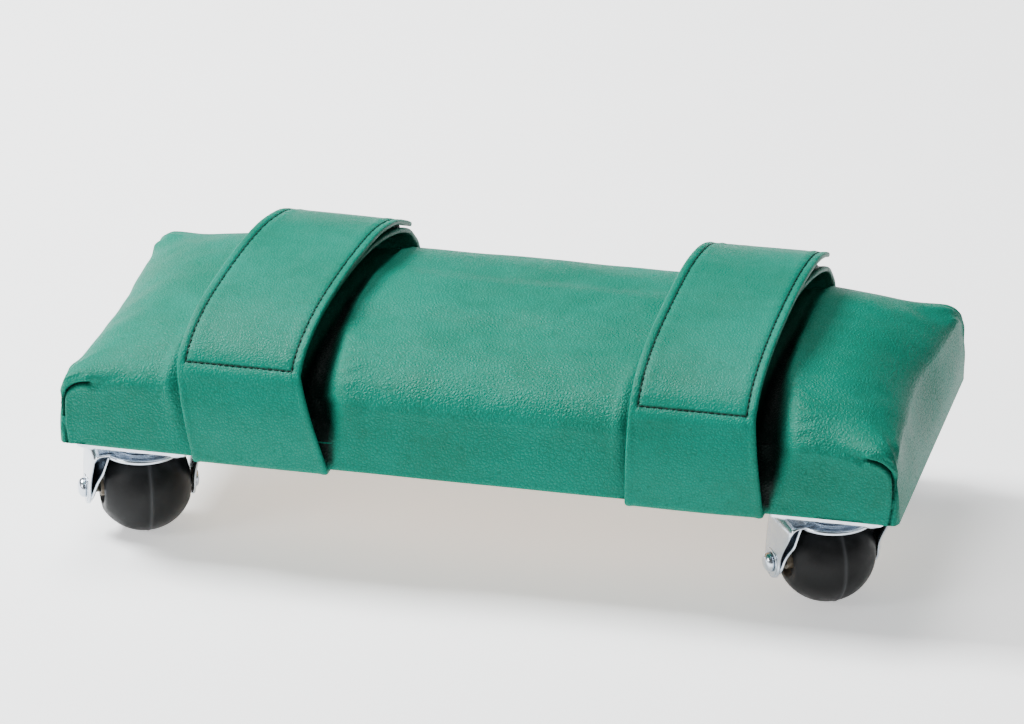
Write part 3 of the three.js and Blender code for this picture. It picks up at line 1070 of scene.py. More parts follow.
        hem = hump(w, 0.05, 0.07) * (0.25 + 0.35 * ripple(x, y * 0, 0.045, 31))
        lift += np.where(face, hem + 0.3 * ripple(x, points[:, 2], 0.05, 33) * above, 0)
        return points + normals * (lift * np.maximum(above, np.where(face, 0.6, 0)) * MM)[:, None]

    def round_corners(self, points: np.ndarray) -> np.ndarray:
        """Round the four upright corners in plan, which leaves room for the folded darts.

        Args:
            points: The pad's points.

        Returns:
            The moved points.
        """
        radius = 5 * MM
        out = points.copy()
        dx = np.abs(points[:, 0]) - (self.half_x - radius)
        dy = np.abs(points[:, 1]) - (self.half_y - radius)
        near = (dx > 0) & (dy > 0)
        far = np.hypot(dx, dy)
        square = np.maximum(dx, dy)
        scale = np.where(near, square / np.maximum(far, 1e-9), 1.0)
        scale = 1 + (scale - 1) * np.where(near, smooth_step(np.minimum(dx, dy), 0, radius * 0.6), 0)
        out[:, 0] = np.where(near, np.sign(points[:, 0]) * (self.half_x - radius + dx * scale), points[:, 0])
        out[:, 1] = np.where(near, np.sign(points[:, 1]) * (self.half_y - radius + dy * scale), points[:, 1])
        return out

    def build(self, palette: Palette) -> bpy.types.Object:
        """Make the covered pad, then dress the board.

        Args:
            palette: The materials.

        Returns:
            The covered pad.
        """
        shares, faces = self.lattice()
        inside = self.shaped(shares, self.start_inset)
        full = self.shaped(shares, 0.0)
        swollen = inside + self.swell(inside, faces)
        inner = 1 - smooth_step(np.abs(shares[:, 1]), 0.7, 0.98)
        inner *= 1 - smooth_step(np.abs(shares[:, 0]), 0.9, 1.0)
        share = smooth_step(shares[:, 2], 0.3, 1.0) * (0.3 + 0.7 * inner)
        relief = swollen - full
        top = (shares[:, 2] > 0.99) & (np.abs(shares[:, 0]) < 0.9) & (np.abs(shares[:, 1]) < 0.8)
        relief[:, 2] -= np.median(relief[top, 2]) - self.fullness
        points = full + relief * share[:, None]
        points = self.pull_in(points, shares)
        points = self.round_corners(points)
        draft = new_object("pad_draft", points, faces)
        normals = np.array([v.normal for v in draft.data.vertices])
        points = self.surface_marks(points, normals, shares)
        points, painted_shade = self.press_straps(points, normals, shares)
        bpy.data.objects.remove(draft)
        points[:, 2] = np.maximum(points[:, 2], self.bottom)
        points, faces = self.close_underside(points, faces)
        pad = new_object("vinyl_covered_pad", points, faces)
        # Keep the painted shade of the folds as a point attribute; the dart slits add theirs below.
        values = np.zeros(len(points))
        values[:len(painted_shade)] = painted_shade
        pad.data.attributes.new("painted_shade", "FLOAT", "POINT").data.foreach_set("value", values)
        self.cut_darts(pad)
        dress(pad, palette.pad, "root", ("vinyl_cover", "foam_pad"))
        dress_frame_node("deck_board", palette.plywood)
        return pad

    def dart_curve(self, side: int) -> np.ndarray:
        """X and Z of the slit where the cover is folded shut, on the faces at one end.

        Args:
            side: -1 for the left end and 1 for the right.

        Returns:
            The curve's corners, from the top down.
        """
        wide, tall = 13.5 * MM, 12.0 * MM
        hub_x = self.half_x - 2.6 * MM - wide
        hub_z = self.bottom + self.edge_height + self.corner_lift - 3.2 * MM - tall
        arc = [(hub_x + wide * math.sin(a), hub_z + tall * math.cos(a))
               for a in np.linspace(-0.2, math.pi / 2, 14)]
        arc += [(self.half_x - 2.5 * MM, hub_z - 5 * MM), (self.half_x - 2.9 * MM, hub_z - 12 * MM),
                (self.half_x - 4.4 * MM, self.bottom + 0.6 * MM)]
        return np.array([(side * x, z) for x, z in arc])

    def cut_darts(self, pad: bpy.types.Object) -> None:
        """Cut the folded slit into the front and rear faces at each upright corner, and darken the slit with
        painted shade.

        Args:
            pad: The covered pad.
        """
        work = bmesh.new()
        work.from_mesh(pad.data)
        for end in (-1, 1):
            for side in (-1, 1):
                curve = self.dart_curve(side)
                near = []
                for face in work.faces:
                    centre = face.calc_center_median()
                    if centre.y * end < self.half_y - 12 * MM or centre.x * side < self.half_x - 26 * MM:
                        continue
                    away, _ = distance_to_curve(np.array([(centre.x, centre.z)]), curve)
                    if away[0] < 5 * MM:
                        near.append(face)
                edges = list({edge for face in near for edge in face.edges})
                bmesh.ops.subdivide_edges(work, edges=edges, cuts=3, use_grid_fill=True)
        work.normal_update()
        # Painted shade: the slit is darkened along its line.
        layer = work.verts.layers.float["painted_shade"]
        for end in (-1, 1):
            for side in (-1, 1):
                curve = self.dart_curve(side)
                verts = [v for v in work.verts if v.co.y * end > self.half_y - 14 * MM
                         and v.co.x * side > self.half_x - 26 * MM]
                flat = np.array([(v.co.x, v.co.z) for v in verts])
                away, share = distance_to_curve(flat, curve)
                hub = np.array([side * (self.half_x - 2 * self.corner_round), self.bottom + 12 * MM])
                curve_x = np.interp(share, np.linspace(0, 1, len(curve)), curve[:, 0])
                curve_z = np.interp(share, np.linspace(0, 1, len(curve)), curve[:, 1])
                reach = np.hypot(curve_x - hub[0], curve_z - hub[1])
                outside = np.hypot(flat[:, 0] - hub[0], flat[:, 1] - hub[1]) > reach
                open_share = smooth_step(share, 0.0, 0.12) * (1 - 0.5 * smooth_step(share, 0.75, 1.0))
                facing = np.array([smooth_step(np.array(v.normal.y * end), 0.1, 0.5) for v in verts])
                slit = np.exp(-(away / (0.75 * MM)) ** 2) * open_share * facing
                lip = np.where(outside, 0.8, 0.35) * hump(away, 2.2 * MM, 1.3 * MM) * open_share * facing
                for vert, depth, rise in zip(verts, slit, lip):
                    vert[layer] = max(vert[layer], float(depth))
                    vert.co += vert.normal * (rise - 2.4 * depth) * MM
        work.to_mesh(pad.data)
        work.free()
        for polygon in pad.data.polygons:
            polygon.use_smooth = True

    def close_underside(self, points: np.ndarray, faces: list[Face]
                        ) -> tuple[np.ndarray, list[Face]]:
        """Carry the skin from the hem's edge up round the board, so that the board lies in a pocket.

        Args:
            points: The pad's points.
            faces: Its faces, open inside the hem.

        Returns:
            Points and faces of the closed skin.
        """
        seen: dict[tuple[int, int], int] = {}
        for face in faces:
            for a, b in zip(face, face[1:] + face[:1]):
                seen[(a, b)] = seen.get((a, b), 0) + 1
        follow = {b: a for a, b in seen if (b, a) not in seen}
        start = next(iter(follow))
        rim = [start]
        while follow[rim[-1]] != start:
            rim.append(follow[rim[-1]])
        gap = 0.3 * MM
        reach_x, reach_y, reach_z = (value + gap for value in self.board)
        rim_points = points[rim]
        edge_x, edge_y = np.abs(rim_points[:, 0]).max(), np.abs(rim_points[:, 1]).max()
        wide = rim_points * np.array([reach_x / edge_x, reach_y / edge_y, 1.0])
        loops = [rim_points.copy(), wide.copy(), wide.copy()]
        loops[0][:, 2] = self.bottom + self.cover
        loops[1][:, 2] = self.bottom + self.cover
        loops[2][:, 2] = reach_z
        rows = [list(rim)]
        for loop in loops:
            rows.append(list(range(len(points), len(points) + len(loop))))
            points = np.vstack([points, loop])
        count = len(rim)
        for lower, upper in zip(rows, rows[1:]):
            for i in range(count):
                k = (i + 1) % count
                faces.append((lower[i], lower[k], upper[k], upper[i]))
        centre = len(points)
        points = np.vstack([points, [[0, 0, reach_z]]])
        for i in range(count):
            faces.append((rows[-1][i], rows[-1][(i + 1) % count], centre))
        return points, faces


def dress_frame_node(node: str, material: bpy.types.Material) -> None:
    """Give a CAD node that keeps its shape a finished material."""
    mesh = frame["nodes"][node].data
    mesh.materials.clear()
    mesh.materials.append(material)


def fix_normals(piece: bpy.types.Object) -> None:
    """Turn every face of a closed piece outwards."""
    work = bmesh.new()
    work.from_mesh(piece.data)
    bmesh.ops.recalc_face_normals(work, faces=work.faces)
    work.to_mesh(piece.data)
    work.free()


# --- Straps -----------------------------------------------
@dataclass
class Band:
    """A flat strip of material swept along a line seen from its side."""

    name: str
    line: Line
    thickness: float
    span: Callable[[np.ndarray], tuple[np.ndarray, np.ndarray]]
    stitch_inset: float = 4.6 * MM
    stitched: tuple[float, float] | None = None
    edge_roll: float = 0.3 * MM
    groove: float = 0.55 * MM
    pitch: float = 3.3 * MM
    seed: int = 1
    waviness: float = 0.35 * MM

    def along_steps(self) -> np.ndarray:
        """Distances of the cross-sections, closer together about the stitched ends.

        Returns:
            Distances along the line, in order.
        """
        steps = [np.arange(0, self.line.length, 1.1 * MM), [self.line.length]]
        if self.stitched:
            for place in self.stitched:
                steps.append(place + np.linspace(-3, 3, 13) * MM)
        merged = np.unique(np.round(np.concatenate(steps), 6))
        merged = merged[(merged >= 0) & (merged <= self.line.length)]
        keep = np.concatenate([[True], np.diff(merged) > 0.2 * MM])
        keep[-1] = True
        return merged[keep]

    def seam(self, along: np.ndarray, inset: np.ndarray, across: np.ndarray, width: float
             ) -> tuple[np.ndarray, np.ndarray]:
        """How near points lie to the stitched rectangle.

        Args:
            along: Distance along the strip.
            inset: Distance from the nearer edge.
            across: Distance from the middle, signed.
            width: Width of the line.

        Returns:
            1 on the line falling to 0 away from it, and the distance along the line.
        """
        first, last = self.stitched
        within = smooth_step(along, first - 1.5 * MM, first)
        within = within * (1 - smooth_step(along, last, last + 1.5 * MM))
        inside = smooth_step(inset, self.stitch_inset - 1.0 * MM, self.stitch_inset)
        sides = hump(inset, self.stitch_inset, width) * within
        ends = np.maximum(hump(along, first, width), hump(along, last, width)) * inside
        return np.maximum(sides, ends), np.where(sides > ends, along, across)

    def height(self, along: np.ndarray, inset: np.ndarray, across: np.ndarray) -> np.ndarray:
        """Relief of the outer face.

        Args:
            along: Distance along the strip.
            inset: Distance from the nearer edge.
            across: Distance from the middle, signed.

        Returns:
            How far the face stands out.
        """
        relief = self.edge_roll * hump(inset, 2.0 * MM, 1.4 * MM)
        if self.stitched:
            line, beat = self.seam(along, inset, across, 0.75 * MM)
            relief = relief - self.groove * line * (0.8 + 0.2 * np.cos(beat * math.tau / self.pitch))
            near, beat = self.seam(along, inset, across, 3.4 * MM)
            relief = relief + near * 0.16 * MM * np.cos(beat * math.tau / (self.pitch * 2.1) + 3 * ripple(
                along, across, 0.03, self.seed + 40))
            lapped = smooth_step(along, self.stitched[0], self.stitched[0] + 6 * MM)
            relief = relief + 0.3 * MM * lapped * hump(inset, self.stitch_inset + 3.6 * MM, 1.3 * MM)
            relief = relief + 0.7 * MM * hump(along, self.stitched[0] - 5.5 * MM, 3.6 * MM) * smooth_step(
                inset, 1.0 * MM, 6 * MM)
        return relief

    def place(self, along: np.ndarray, across: np.ndarray, depth: np.ndarray) -> np.ndarray:
        """Points of the strip in the frame.

        Args:
            along: Distance along the strip of each point.
            across: Share of the half width, -1 to 1.
            depth: Distance under the outer face.

        Returns:
            The points.
        """
        point, outward = self.line.at(along)
        low, high = self.span(point)
        x = (low + high) / 2 + across * (high - low) / 2
        sway = self.waviness * ripple(along, x, 0.07, self.seed) * (0.5 + 0.5 * across ** 2)
        sunk = (sway - depth)[:, None]
        plane = point + outward * sunk
        return np.column_stack([x, plane[:, 0], plane[:, 1]])

    def build(self) -> bpy.types.Object:
        """Make the strip as one closed mesh.

        Returns:
            The new piece.
        """
        insets = np.array([0, 0.25, 0.7, 1.4, 2.3, 3.2, 3.8, 4.2, 4.6, 5.0, 5.5, 6.4, 8.2, 10.5, 13.5, 17,
                           21, 25.5]) * MM
        steps = self.along_steps()
        point, _ = self.line.at(steps)
        low, high = self.span(point)
        half = float(np.mean(high - low)) / 2
        insets = insets[insets < half - 2 * MM]
        left = -1 + insets / half
        row = np.concatenate([left, [0.0], -left[::-1]])
        inset = half * (1 - np.abs(row))
        edge = np.where(inset < 0.1 * MM, 0.36, np.where(inset < 0.4 * MM, 0.12, 0.0)) * self.thickness
        count = len(row)
        rings, painted_shade = [], []
        for along in steps:
            a = np.full(count, along)
            relief = self.height(a, inset, row * half)
            # Painted shade: the stitch groove is darkened along the seam line.
            if self.stitched:
                dark, _ = self.seam(a, inset, row * half, 0.6 * MM)
                painted_shade.append(np.concatenate([0.85 * dark, np.zeros(count)]))
            outer = self.place(a, row, edge - relief)
            inner = self.place(a, row[::-1], self.thickness - edge[::-1])
            rings.append(np.vstack([outer, inner]))
        piece = new_object(self.name, np.vstack(rings), strip_faces(len(rings), count))
        fix_normals(piece)
        if painted_shade:
            shade = piece.data.attributes.new("painted_shade", "FLOAT", "POINT")
            shade.data.foreach_set("value", np.concatenate(painted_shade))
        return piece

    def declare(self) -> None:
        """Work out where the strip reaches along X over its length; nothing is kept or stated.
        """
        steps = np.linspace(0, self.line.length, 200)
        point, _ = self.line.at(steps)
        low, high = self.span(point)

    def stitches(self, name: str) -> bpy.types.Object:
        """Make the thread of the stitched rectangle as one piece of many short stitches.

        Args:
            name: Name of the piece.

        Returns:
            The new piece.
        """
        first, last = self.stitched
        point, _ = self.line.at(np.array([(first + last) / 2]))
        low, high = self.span(point)
        half = float(high[0] - low[0]) / 2
        side = 1 - self.stitch_inset / half
        runs = [((first, -side), (last, -side)), ((first, side), (last, side)),
                ((first, -side), (first, side)), ((last, -side), (last, side))]
        points, faces = [], []
        for (a0, t0), (a1, t1) in runs:
            length = math.hypot(a1 - a0, (t1 - t0) * half)
            number = max(1, round(length / self.pitch))
            for i in range(number):
                ends = []
                for share in ((i + 0.16) / number, (i + 0.84) / number):
                    along, across = a0 + (a1 - a0) * share, t0 + (t1 - t0) * share
                    ends.append(self.place(np.array([along]), np.array([across]),
                                           np.array([self.groove * 0.55]))[0])
                self.add_stitch(points, faces, Vector(ends[0]), Vector(ends[1]))
        return new_object(name, np.array(points), faces)

    @staticmethod
    def add_stitch(points: list, faces: list, start: Vector, stop: Vector) -> None:
        """Add one plump stitch between two points.

        Args:
            points: Points so far, which grow.
            faces: Faces so far, which grow.
            start: One end of the stitch.
            stop: Its other end.
        """
        run = stop - start
        side = run.cross(Vector((0, 0, 1)))
        if side.length < 1e-9:
            side = Vector((1, 0, 0))
        side.normalize()
        up = side.cross(run).normalized()
        sides = 6
        base = len(points)
        girths = ((0.0, 0.1), (0.12, 0.3), (0.5, 0.42), (0.88, 0.3), (1.0, 0.1))
        for share, radius in girths:
            for k in range(sides):
                angle = math.tau * k / sides
                offset = (side * math.cos(angle) + up * math.sin(angle)) * radius * MM
                points.append(tuple(start + run * share + offset))
        last = base + (len(girths) - 1) * sides
        faces += shifted(joined_faces(len(girths), sides), base)
        faces.append(tuple(range(base, base + sides)))
        faces.append(tuple(reversed(range(last, last + sides))))


@dataclass
class StrapLoop:
    """One strap: a front band with its flap, a rear band beneath it, and the tapes between them."""

    side: str
    seed: int
    arch: tuple[tuple[float, float], ...] = (
        (0.0, 0.0), (0.033, 0.28), (0.102, 0.55), (0.211, 0.77), (0.375, 0.93), (0.549, 1.0),
        (0.691, 0.985), (0.823, 0.86), (0.921, 0.635), (0.975, 0.36), (1.0, 0.105))
    free_end: tuple[tuple[float, float], ...] = ((0.8225, 0.88), (0.91, 0.725), (0.967, 0.575))
    foot_inset: float = 58 * MM
    thickness: float = 2.4 * MM
    tape: float = 1.4 * MM
    gap: float = 0.15 * MM

    def __post_init__(self) -> None:
        """Take the strap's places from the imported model."""
        self.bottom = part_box("vinyl_cover")[0].z
        self.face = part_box(f"rear_band_{self.side}")[1].y
        self.foot_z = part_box(f"front_band_{self.side}")[0].z
        flap_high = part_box(f"front_flap_{self.side}")[1]
        self.pivot = Vector(joint_named(f"{self.side}_flap_open")["pos_m"])
        self.crease_y = self.pivot.y + 0.6 * MM
        self.tail_y = flap_high.y
        self.crease_z = self.pivot.z
        self.crest_z = flap_high.z
        self.foot = reach_across(f"front_band_{self.side}", 2, False)
        self.crease = reach_across(f"front_flap_{self.side}", 1, False)
        self.tail = reach_across(f"front_flap_{self.side}", 1, True)
        self.rear = reach_across(f"rear_band_{self.side}", 1, True)

    def arch_points(self, flap: bool) -> list[tuple[float, float]]:
        """Y and Z of the loop's outer face from the crease to its rear.

        Args:
            flap: True for the flap, whose free end stands up a little, and False for what lies under it.

        Returns:
            The points.
        """
        reach, rise = self.tail_y - self.crease_y, self.crest_z - self.crease_z
        shares = self.arch[:7] + self.free_end if flap else self.arch
        return [(self.crease_y + reach * a, self.crease_z + rise * b) for a, b in shares]

    def foot_points(self, face: int) -> np.ndarray:
        """Y and Z of a band's outer face from under the board up to its lower edge.

        Args:
            face: -1 in front and 1 at the rear.

        Returns:
            The points.
        """
        bend = self.bottom - self.foot_z
        points = [(face * self.foot_inset, self.foot_z)]
        for angle in np.linspace(0, math.pi / 2, 8):
            points.append((face * (self.face - bend + bend * math.sin(angle)),
                           self.bottom - bend * math.cos(angle)))
        return np.array(points)

    def front_line(self) -> Line:
        """The outer face of the front band and its flap.

        Returns:
            The line in Y and Z.
        """
        up = [(-self.face - 0.5 * MM, self.bottom + 8 * MM), (-self.face - 0.9 * MM, self.bottom + 18 * MM),
              (-self.face - 0.4 * MM, self.bottom + 29 * MM), (-self.face + 1.2 * MM, self.bottom + 38 * MM),
              (-self.face + 3.2 * MM, self.bottom + 45 * MM)]
        return Line(np.vstack([self.foot_points(-1), through(up + self.arch_points(True))]))

    def lowered(self, flap: bool, drop: float, start: float, stop: float) -> np.ndarray:
        """Part of the arch, moved in towards the pad.

        Args:
            flap: Whether it follows the flap's free end.
            drop: How far it is moved in.
            start: Share of the arch's length at which it starts.
            stop: Share at which it stops.

        Returns:
            The points.
        """
        arch = Line(through(self.arch_points(flap)))
        point, outward = arch.at(np.linspace(start, stop, 80) * arch.length)
        return point - outward * drop

    def front_span(self, point: np.ndarray) -> tuple[np.ndarray, np.ndarray]:
        """Reach along X of the front band and flap.

        Args:
            point: Y and Z of places along it.

        Returns:
            The lowest and highest X at each.
        """
        up = np.clip((point[:, 1] - self.bottom) / (self.crease_z - self.bottom), 0, 1)
        up = np.where(point[:, 0] > self.crease_y, 1.0, up)
        up = np.where(point[:, 1] < self.bottom, 0.0, up)
        back = np.clip((point[:, 0] - self.crease_y) / (self.tail_y - self.crease_y), 0, 1)
        back = np.where(point[:, 1] < self.bottom + 30 * MM, 0, back)
        low = self.foot[0] + (self.crease[0] - self.foot[0]) * up + (self.tail[0] - self.crease[0]) * back
        high = self.foot[1] + (self.crease[1] - self.foot[1]) * up + (self.tail[1] - self.crease[1]) * back
        return low, high

    def rear_span(self, point: np.ndarray) -> tuple[np.ndarray, np.ndarray]:
        """Reach along X of the rear band.

        Args:
            point: Y and Z of places along it.

        Returns:
            The lowest and highest X at each.
        """
        back = np.clip((point[:, 0] - self.crease_y) / (self.tail_y - self.crease_y), 0, 1)
        back = np.where(point[:, 1] < self.bottom + 30 * MM, 1.0, back)
        narrow = (self.crease[1] - self.crease[0]) / 2 - 3 * MM
        half = narrow + ((self.rear[1] - self.rear[0]) / 2 - narrow) * smooth_step(back, 0.5, 0.97)
        centre = middle(self.crease) + (middle(self.tail) - middle(self.crease)) * back
        return centre - half, centre + half

    def tape_span(self, point: np.ndarray) -> tuple[np.ndarray, np.ndarray]:
        """Reach along X of the tapes, a little less than the flap's."""
        low, high = self.front_span(point)
        return low + 5 * MM, high - 5 * MM

    def build(self, palette: Palette) -> None:
        """Make and dress every piece of the strap.

        Args:
            palette: The materials.
        """
        flap_body = f"{self.side}_flap"
        line = self.front_line()
        first = line.nearest((self.crease_y, self.crease_z)) + 1.5 * MM
        front = Band(f"front_band_and_flap_{self.side}", line, self.thickness, self.front_span,
                     stitched=(first, line.length - 4.6 * MM), seed=self.seed)
        band = front.build()
        thread = front.stitches(f"flap_stitching_{self.side}")
        dress(band, palette.strap, None,
              (f"front_band_{self.side}", f"front_flap_{self.side}"))
        dress(thread, palette.thread, None)
        start = self.pivot - Vector((0, 0.4, 0.9)) * 5 * MM
        stop = self.pivot + Vector((0, 0.62, 0.78)) * 13 * MM
        for piece in (band, thread):
            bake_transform(piece, "root", flap_body, start=tuple(start), end=tuple(stop))
        front.declare()

        hook_drop = self.thickness + self.gap
        hook_tape = Band(f"flap_hook_tape_{self.side}", Line(self.lowered(True, hook_drop, 0.06, 0.955)),
                         self.tape, self.tape_span, edge_roll=0.0, seed=self.seed, waviness=0.2 * MM)
        hooks = hook_tape.build()
        dress(hooks, palette.hooks, flap_body, (f"hook_tape_{self.side}",))
        hook_tape.declare()
        loop_drop = hook_drop + self.tape + self.gap
        loop_tape = Band(f"rear_loop_tape_{self.side}", Line(self.lowered(False, loop_drop, 0.11, 0.93)),
                         self.tape, self.tape_span, edge_roll=0.0, seed=self.seed, waviness=0.2 * MM)
        loops = loop_tape.build()
        dress(loops, palette.loops, "root", (f"loop_tape_{self.side}",))
        loop_tape.declare()

        rear_drop = loop_drop + self.tape + self.gap
        over = self.lowered(False, rear_drop, 0.095, 0.94)
        down = through([tuple(over[-1]), (self.face - 4.6 * MM, self.bottom + 47 * MM),
                        (self.face - 0.6 * MM, self.bottom + 36 * MM), (self.face, self.bottom + 22 * MM),
                        (self.face, self.bottom + 4 * MM)])
        rear_line = Line(np.vstack([over, down[2:], self.foot_points(1)[::-1]]))
        rear_band = Band(f"rear_strap_band_{self.side}", rear_line, self.thickness, self.rear_span,
                         seed=self.seed + 7)
        rear = rear_band.build()
        dress(rear, palette.strap, "root", (f"rear_band_{self.side}",))
        rear_band.declare()


# --- Casters ----------------------------------------------
@dataclass
class BallCaster:
    """A swivelling ball caster: fixed plate and race, pressed fork, axle and rubber ball."""

    name: str
    sheet: float = 1.9 * MM
    ball_radius: float = 25 * MM
    crown_radius: float = 20.5 * MM
    leg_end: float = 8.4 * MM

    def __post_init__(self) -> None:
        """Take the caster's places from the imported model."""
        swivel = joint_named(f"{self.name}_swivel")
        roll = joint_named(f"{self.name}_roll")
        self.axis = Vector(swivel["pos_m"])
        self.heading = math.atan2(roll["axis"][1], roll["axis"][0])
        offset = Vector(roll["pos_m"]) - self.axis
        cos, sin = math.cos(self.heading), math.sin(self.heading)
        self.ball_x = offset.x * cos + offset.y * sin
        self.trail = -offset.x * sin + offset.y * cos
        self.axle_z = roll["pos_m"][2]
        self.race_low, self.race_high = (corner.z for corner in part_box(f"{self.name}_bearing_race"))
        self.crown_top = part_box(f"{self.name}_fork")[1].z

    def turn(self, points: np.ndarray) -> np.ndarray:
        """Turn points from the fork's own axes, axle along X and wheel behind at +Y, into the frame.

        Args:
            points: Points in the fork's axes.

        Returns:
            The points in the frame.
        """
        cos, sin = math.cos(self.heading), math.sin(self.heading)
        x = points[:, 0] * cos - points[:, 1] * sin + self.axis.x
        y = points[:, 0] * sin + points[:, 1] * cos + self.axis.y
        return np.column_stack([x, y, points[:, 2]])

    def on_axle(self, points: np.ndarray) -> np.ndarray:
        """Place turned points about the axle."""
        return self.turn(points + np.array([0.0, self.trail, self.axle_z]))

    def upright(self, x: float = 0.0, y: float = 0.0) -> Callable[[np.ndarray], np.ndarray]:
        """A way to place turned points about an upright axis beside the swivel axis."""
        centre = np.array([self.axis.x + x, self.axis.y + y, 0.0])
        return lambda points: points[:, [1, 2, 0]] + centre

    def ball(self) -> bpy.types.Object:
        """The rubber ball: a sphere with flat flanks, sunk hubs and a fine mould line round its middle.

        Returns:
            The new piece.
        """
        radius = self.ball_radius
        low, high = -22.0, 23.0
        start, stop = (math.asin(z * MM / radius) for z in (low + 0.6, high - 0.6))
        body = []
        for angle in np.linspace(start, stop, 56):
            z = radius * math.sin(angle)
            ridge = 0.3 * MM * float(hump(np.array(z), 0.0, 0.5 * MM))
            groove = 0.1 * MM * float(hump(np.array(abs(z)), 1.3 * MM, 0.6 * MM))
            body.append(((radius - 0.2 * MM + ridge - groove) * math.cos(angle), z))
        for z in (-0.9, -0.45, 0.0, 0.45, 0.9):
            ridge = 0.3 * MM * float(hump(np.array(z), 0.0, 0.5))
            body.append((math.sqrt(radius ** 2 - (z * MM) ** 2) - 0.2 * MM + ridge, z * MM))
        body.sort(key=lambda place: place[1])
        near_hub = in_mm([(5.3, low + 2.5), (8.2, low + 2.2), (9.0, low + 0.4), (9.8, low)])
        far_hub = in_mm([(8.6, high), (7.8, high - 0.4), (7.2, high - 2.0), (5.3, high - 2.2)])
        profile = [(r, z + self.ball_x) for r, z in near_hub + body + far_hub]
        ball = turned(f"{self.name}_rubber_ball", profile, 96, self.on_axle)
        axle = np.array([math.cos(self.heading), math.sin(self.heading), 0.0])
        centre = self.on_axle(np.array([[self.ball_x, 0.0, 0.0]]))[0]
        aside = (np.array([v.co for v in ball.data.vertices]) - centre) @ axle
        seam = hump(aside, 0.0, 0.9 * MM)
        ball.data.attributes.new("seam", "FLOAT", "POINT").data.foreach_set("value", seam)
        return ball

    def leg_edges(self, left: float, z: float) -> tuple[float, float]:
        """Y of an outer leg's two edges, which narrow to a round end about the axle.

        Args:
            left: Distance from the leg's end.
            z: Height.

        Returns:
            Y of the front edge and of the rear one.
        """
        rest = max(0.0, self.leg_end - left)
        half = math.sqrt(max(self.leg_end ** 2 - rest ** 2, (0.8 * MM) ** 2))
        rise = float(smooth_step(np.array(z), self.axle_z, self.crown_top)) if left > self.leg_end else 0.0
        front, back = self.trail - half, self.trail + half
        return front * (1 - rise) - 9 * MM * rise, back * (1 - rise) + 19 * MM * rise

    def inner_edges(self, left: float, z: float) -> tuple[float, float]:
        """Y of the channel's inner leg's edges, arguments as for an outer leg."""
        front, back = self.leg_edges(left + 3 * MM, z)
        return max(front, 0.5 * MM), min(back, 21 * MM)

    def leg(self, turns: list[tuple[float, float]], edges: Callable[[float, float], tuple[float, float]],
            inward: float) -> tuple[np.ndarray, list[Face]]:
        """A bent strip of sheet steel.

        Args:
            turns: X and Z of its outer face from the crown down.
            edges: Gives the Y of both edges at a distance from the strip's end and its Z.
            inward: 1 or -1, the side of the line that the sheet's thickness lies on.

        Returns:
            Points and faces.
        """
        line = Line(through(turns))
        steps = np.concatenate([np.arange(0, line.length - 9 * MM, 1.2 * MM),
                                line.length - 9 * MM * (1 - np.sin(np.linspace(0, math.pi / 2, 16)))])
        point, left = line.at(steps)
        shares = np.array([0, 0.03, 0.1, 0.5, 0.9, 0.97, 1.0])
        edge = np.array([0.35, 0.1, 0, 0, 0, 0.1, 0.35]) * self.sheet
        rings = []
        for (x, z), normal, along in zip(point, left, steps):
            low, high = edges(line.length - along, z)
            y = low + (high - low) * shares
            outer = np.column_stack([x + normal[0] * edge * inward, y, z + normal[1] * edge * inward])
            depth = (self.sheet - edge[::-1]) * inward
            inner = np.column_stack([x + normal[0] * depth, y[::-1], z + normal[1] * depth])
            rings.append(np.vstack([outer, inner]))
        return np.vstack(rings), strip_faces(len(rings), len(shares))

    def crown(self) -> tuple[np.ndarray, list[Face]]:
        """The dished round crown with its turned-down rim.

        Returns:
            Points and faces.
        """
        top = self.crown_top
        r = self.crown_radius
        profile = [(4.3, 0.0), (14.6, 0.0), (15.6, -0.25), (16.6, -0.6), (18.8, -0.6), (19.9, -0.85),
                   (20.5, -1.5), (20.5, -2.6), (20.2, -2.9), (19.5, -2.9), (19.0, -2.5), (18.4, -2.3),
                   (4.3, -1.9)]
        ring = [(a / 20.5 * r, top + b * MM) for a, b in profile]
        segments = 72
        points = [(rad * math.cos(t), rad * math.sin(t), z)
                  for t in np.linspace(0, math.tau, segments, endpoint=False) for rad, z in ring]
        return np.array(points), joined_faces(segments, len(ring), closed_rings=True)

    def fork(self) -> bpy.types.Object:
        """The pressed fork: crown, hollow channel arm on one side and plain arm on the other.

        Returns:
            The new piece.
        """
        top, axle = self.crown_top, self.axle_z
        channel_x, plain_x = -27 * MM, 28.8 * MM
        level = top - 0.3 * MM
        end_z = axle - self.leg_end
        channel = [(-13 * MM, level), (-19 * MM, level), (-24.2 * MM, level - 0.5 * MM),
                   (channel_x + 0.5 * MM, level - 3.4 * MM), (channel_x, level - 8 * MM),
                   (channel_x, axle), (channel_x, end_z)]
        plain = [(13 * MM, level), (20 * MM, level), (26 * MM, level - 0.5 * MM),
                 (plain_x - 0.4 * MM, level - 3.2 * MM), (plain_x, level - 8 * MM),
                 (plain_x, axle), (plain_x, end_z)]
        inner = [(-14.2 * MM, top - 1.4 * MM), (-14.8 * MM, top - 4 * MM), (-17.0 * MM, top - 10 * MM),
                 (-20.4 * MM, axle + 8 * MM), (-22.6 * MM, axle + 1 * MM), (-24.6 * MM, axle - 5 * MM)]
        points, faces = np.empty((0, 3)), []
        for part_points, part_faces in (self.crown(), self.leg(channel, self.leg_edges, 1),
                                        self.leg(plain, self.leg_edges, -1),
                                        self.leg(inner, self.inner_edges, -1), self.web(top, axle)):
            faces += shifted(part_faces, len(points))
            points = np.vstack([points, part_points])
        piece = new_object(f"{self.name}_pressed_fork", self.turn(points), faces)
        fix_normals(piece)
        return piece

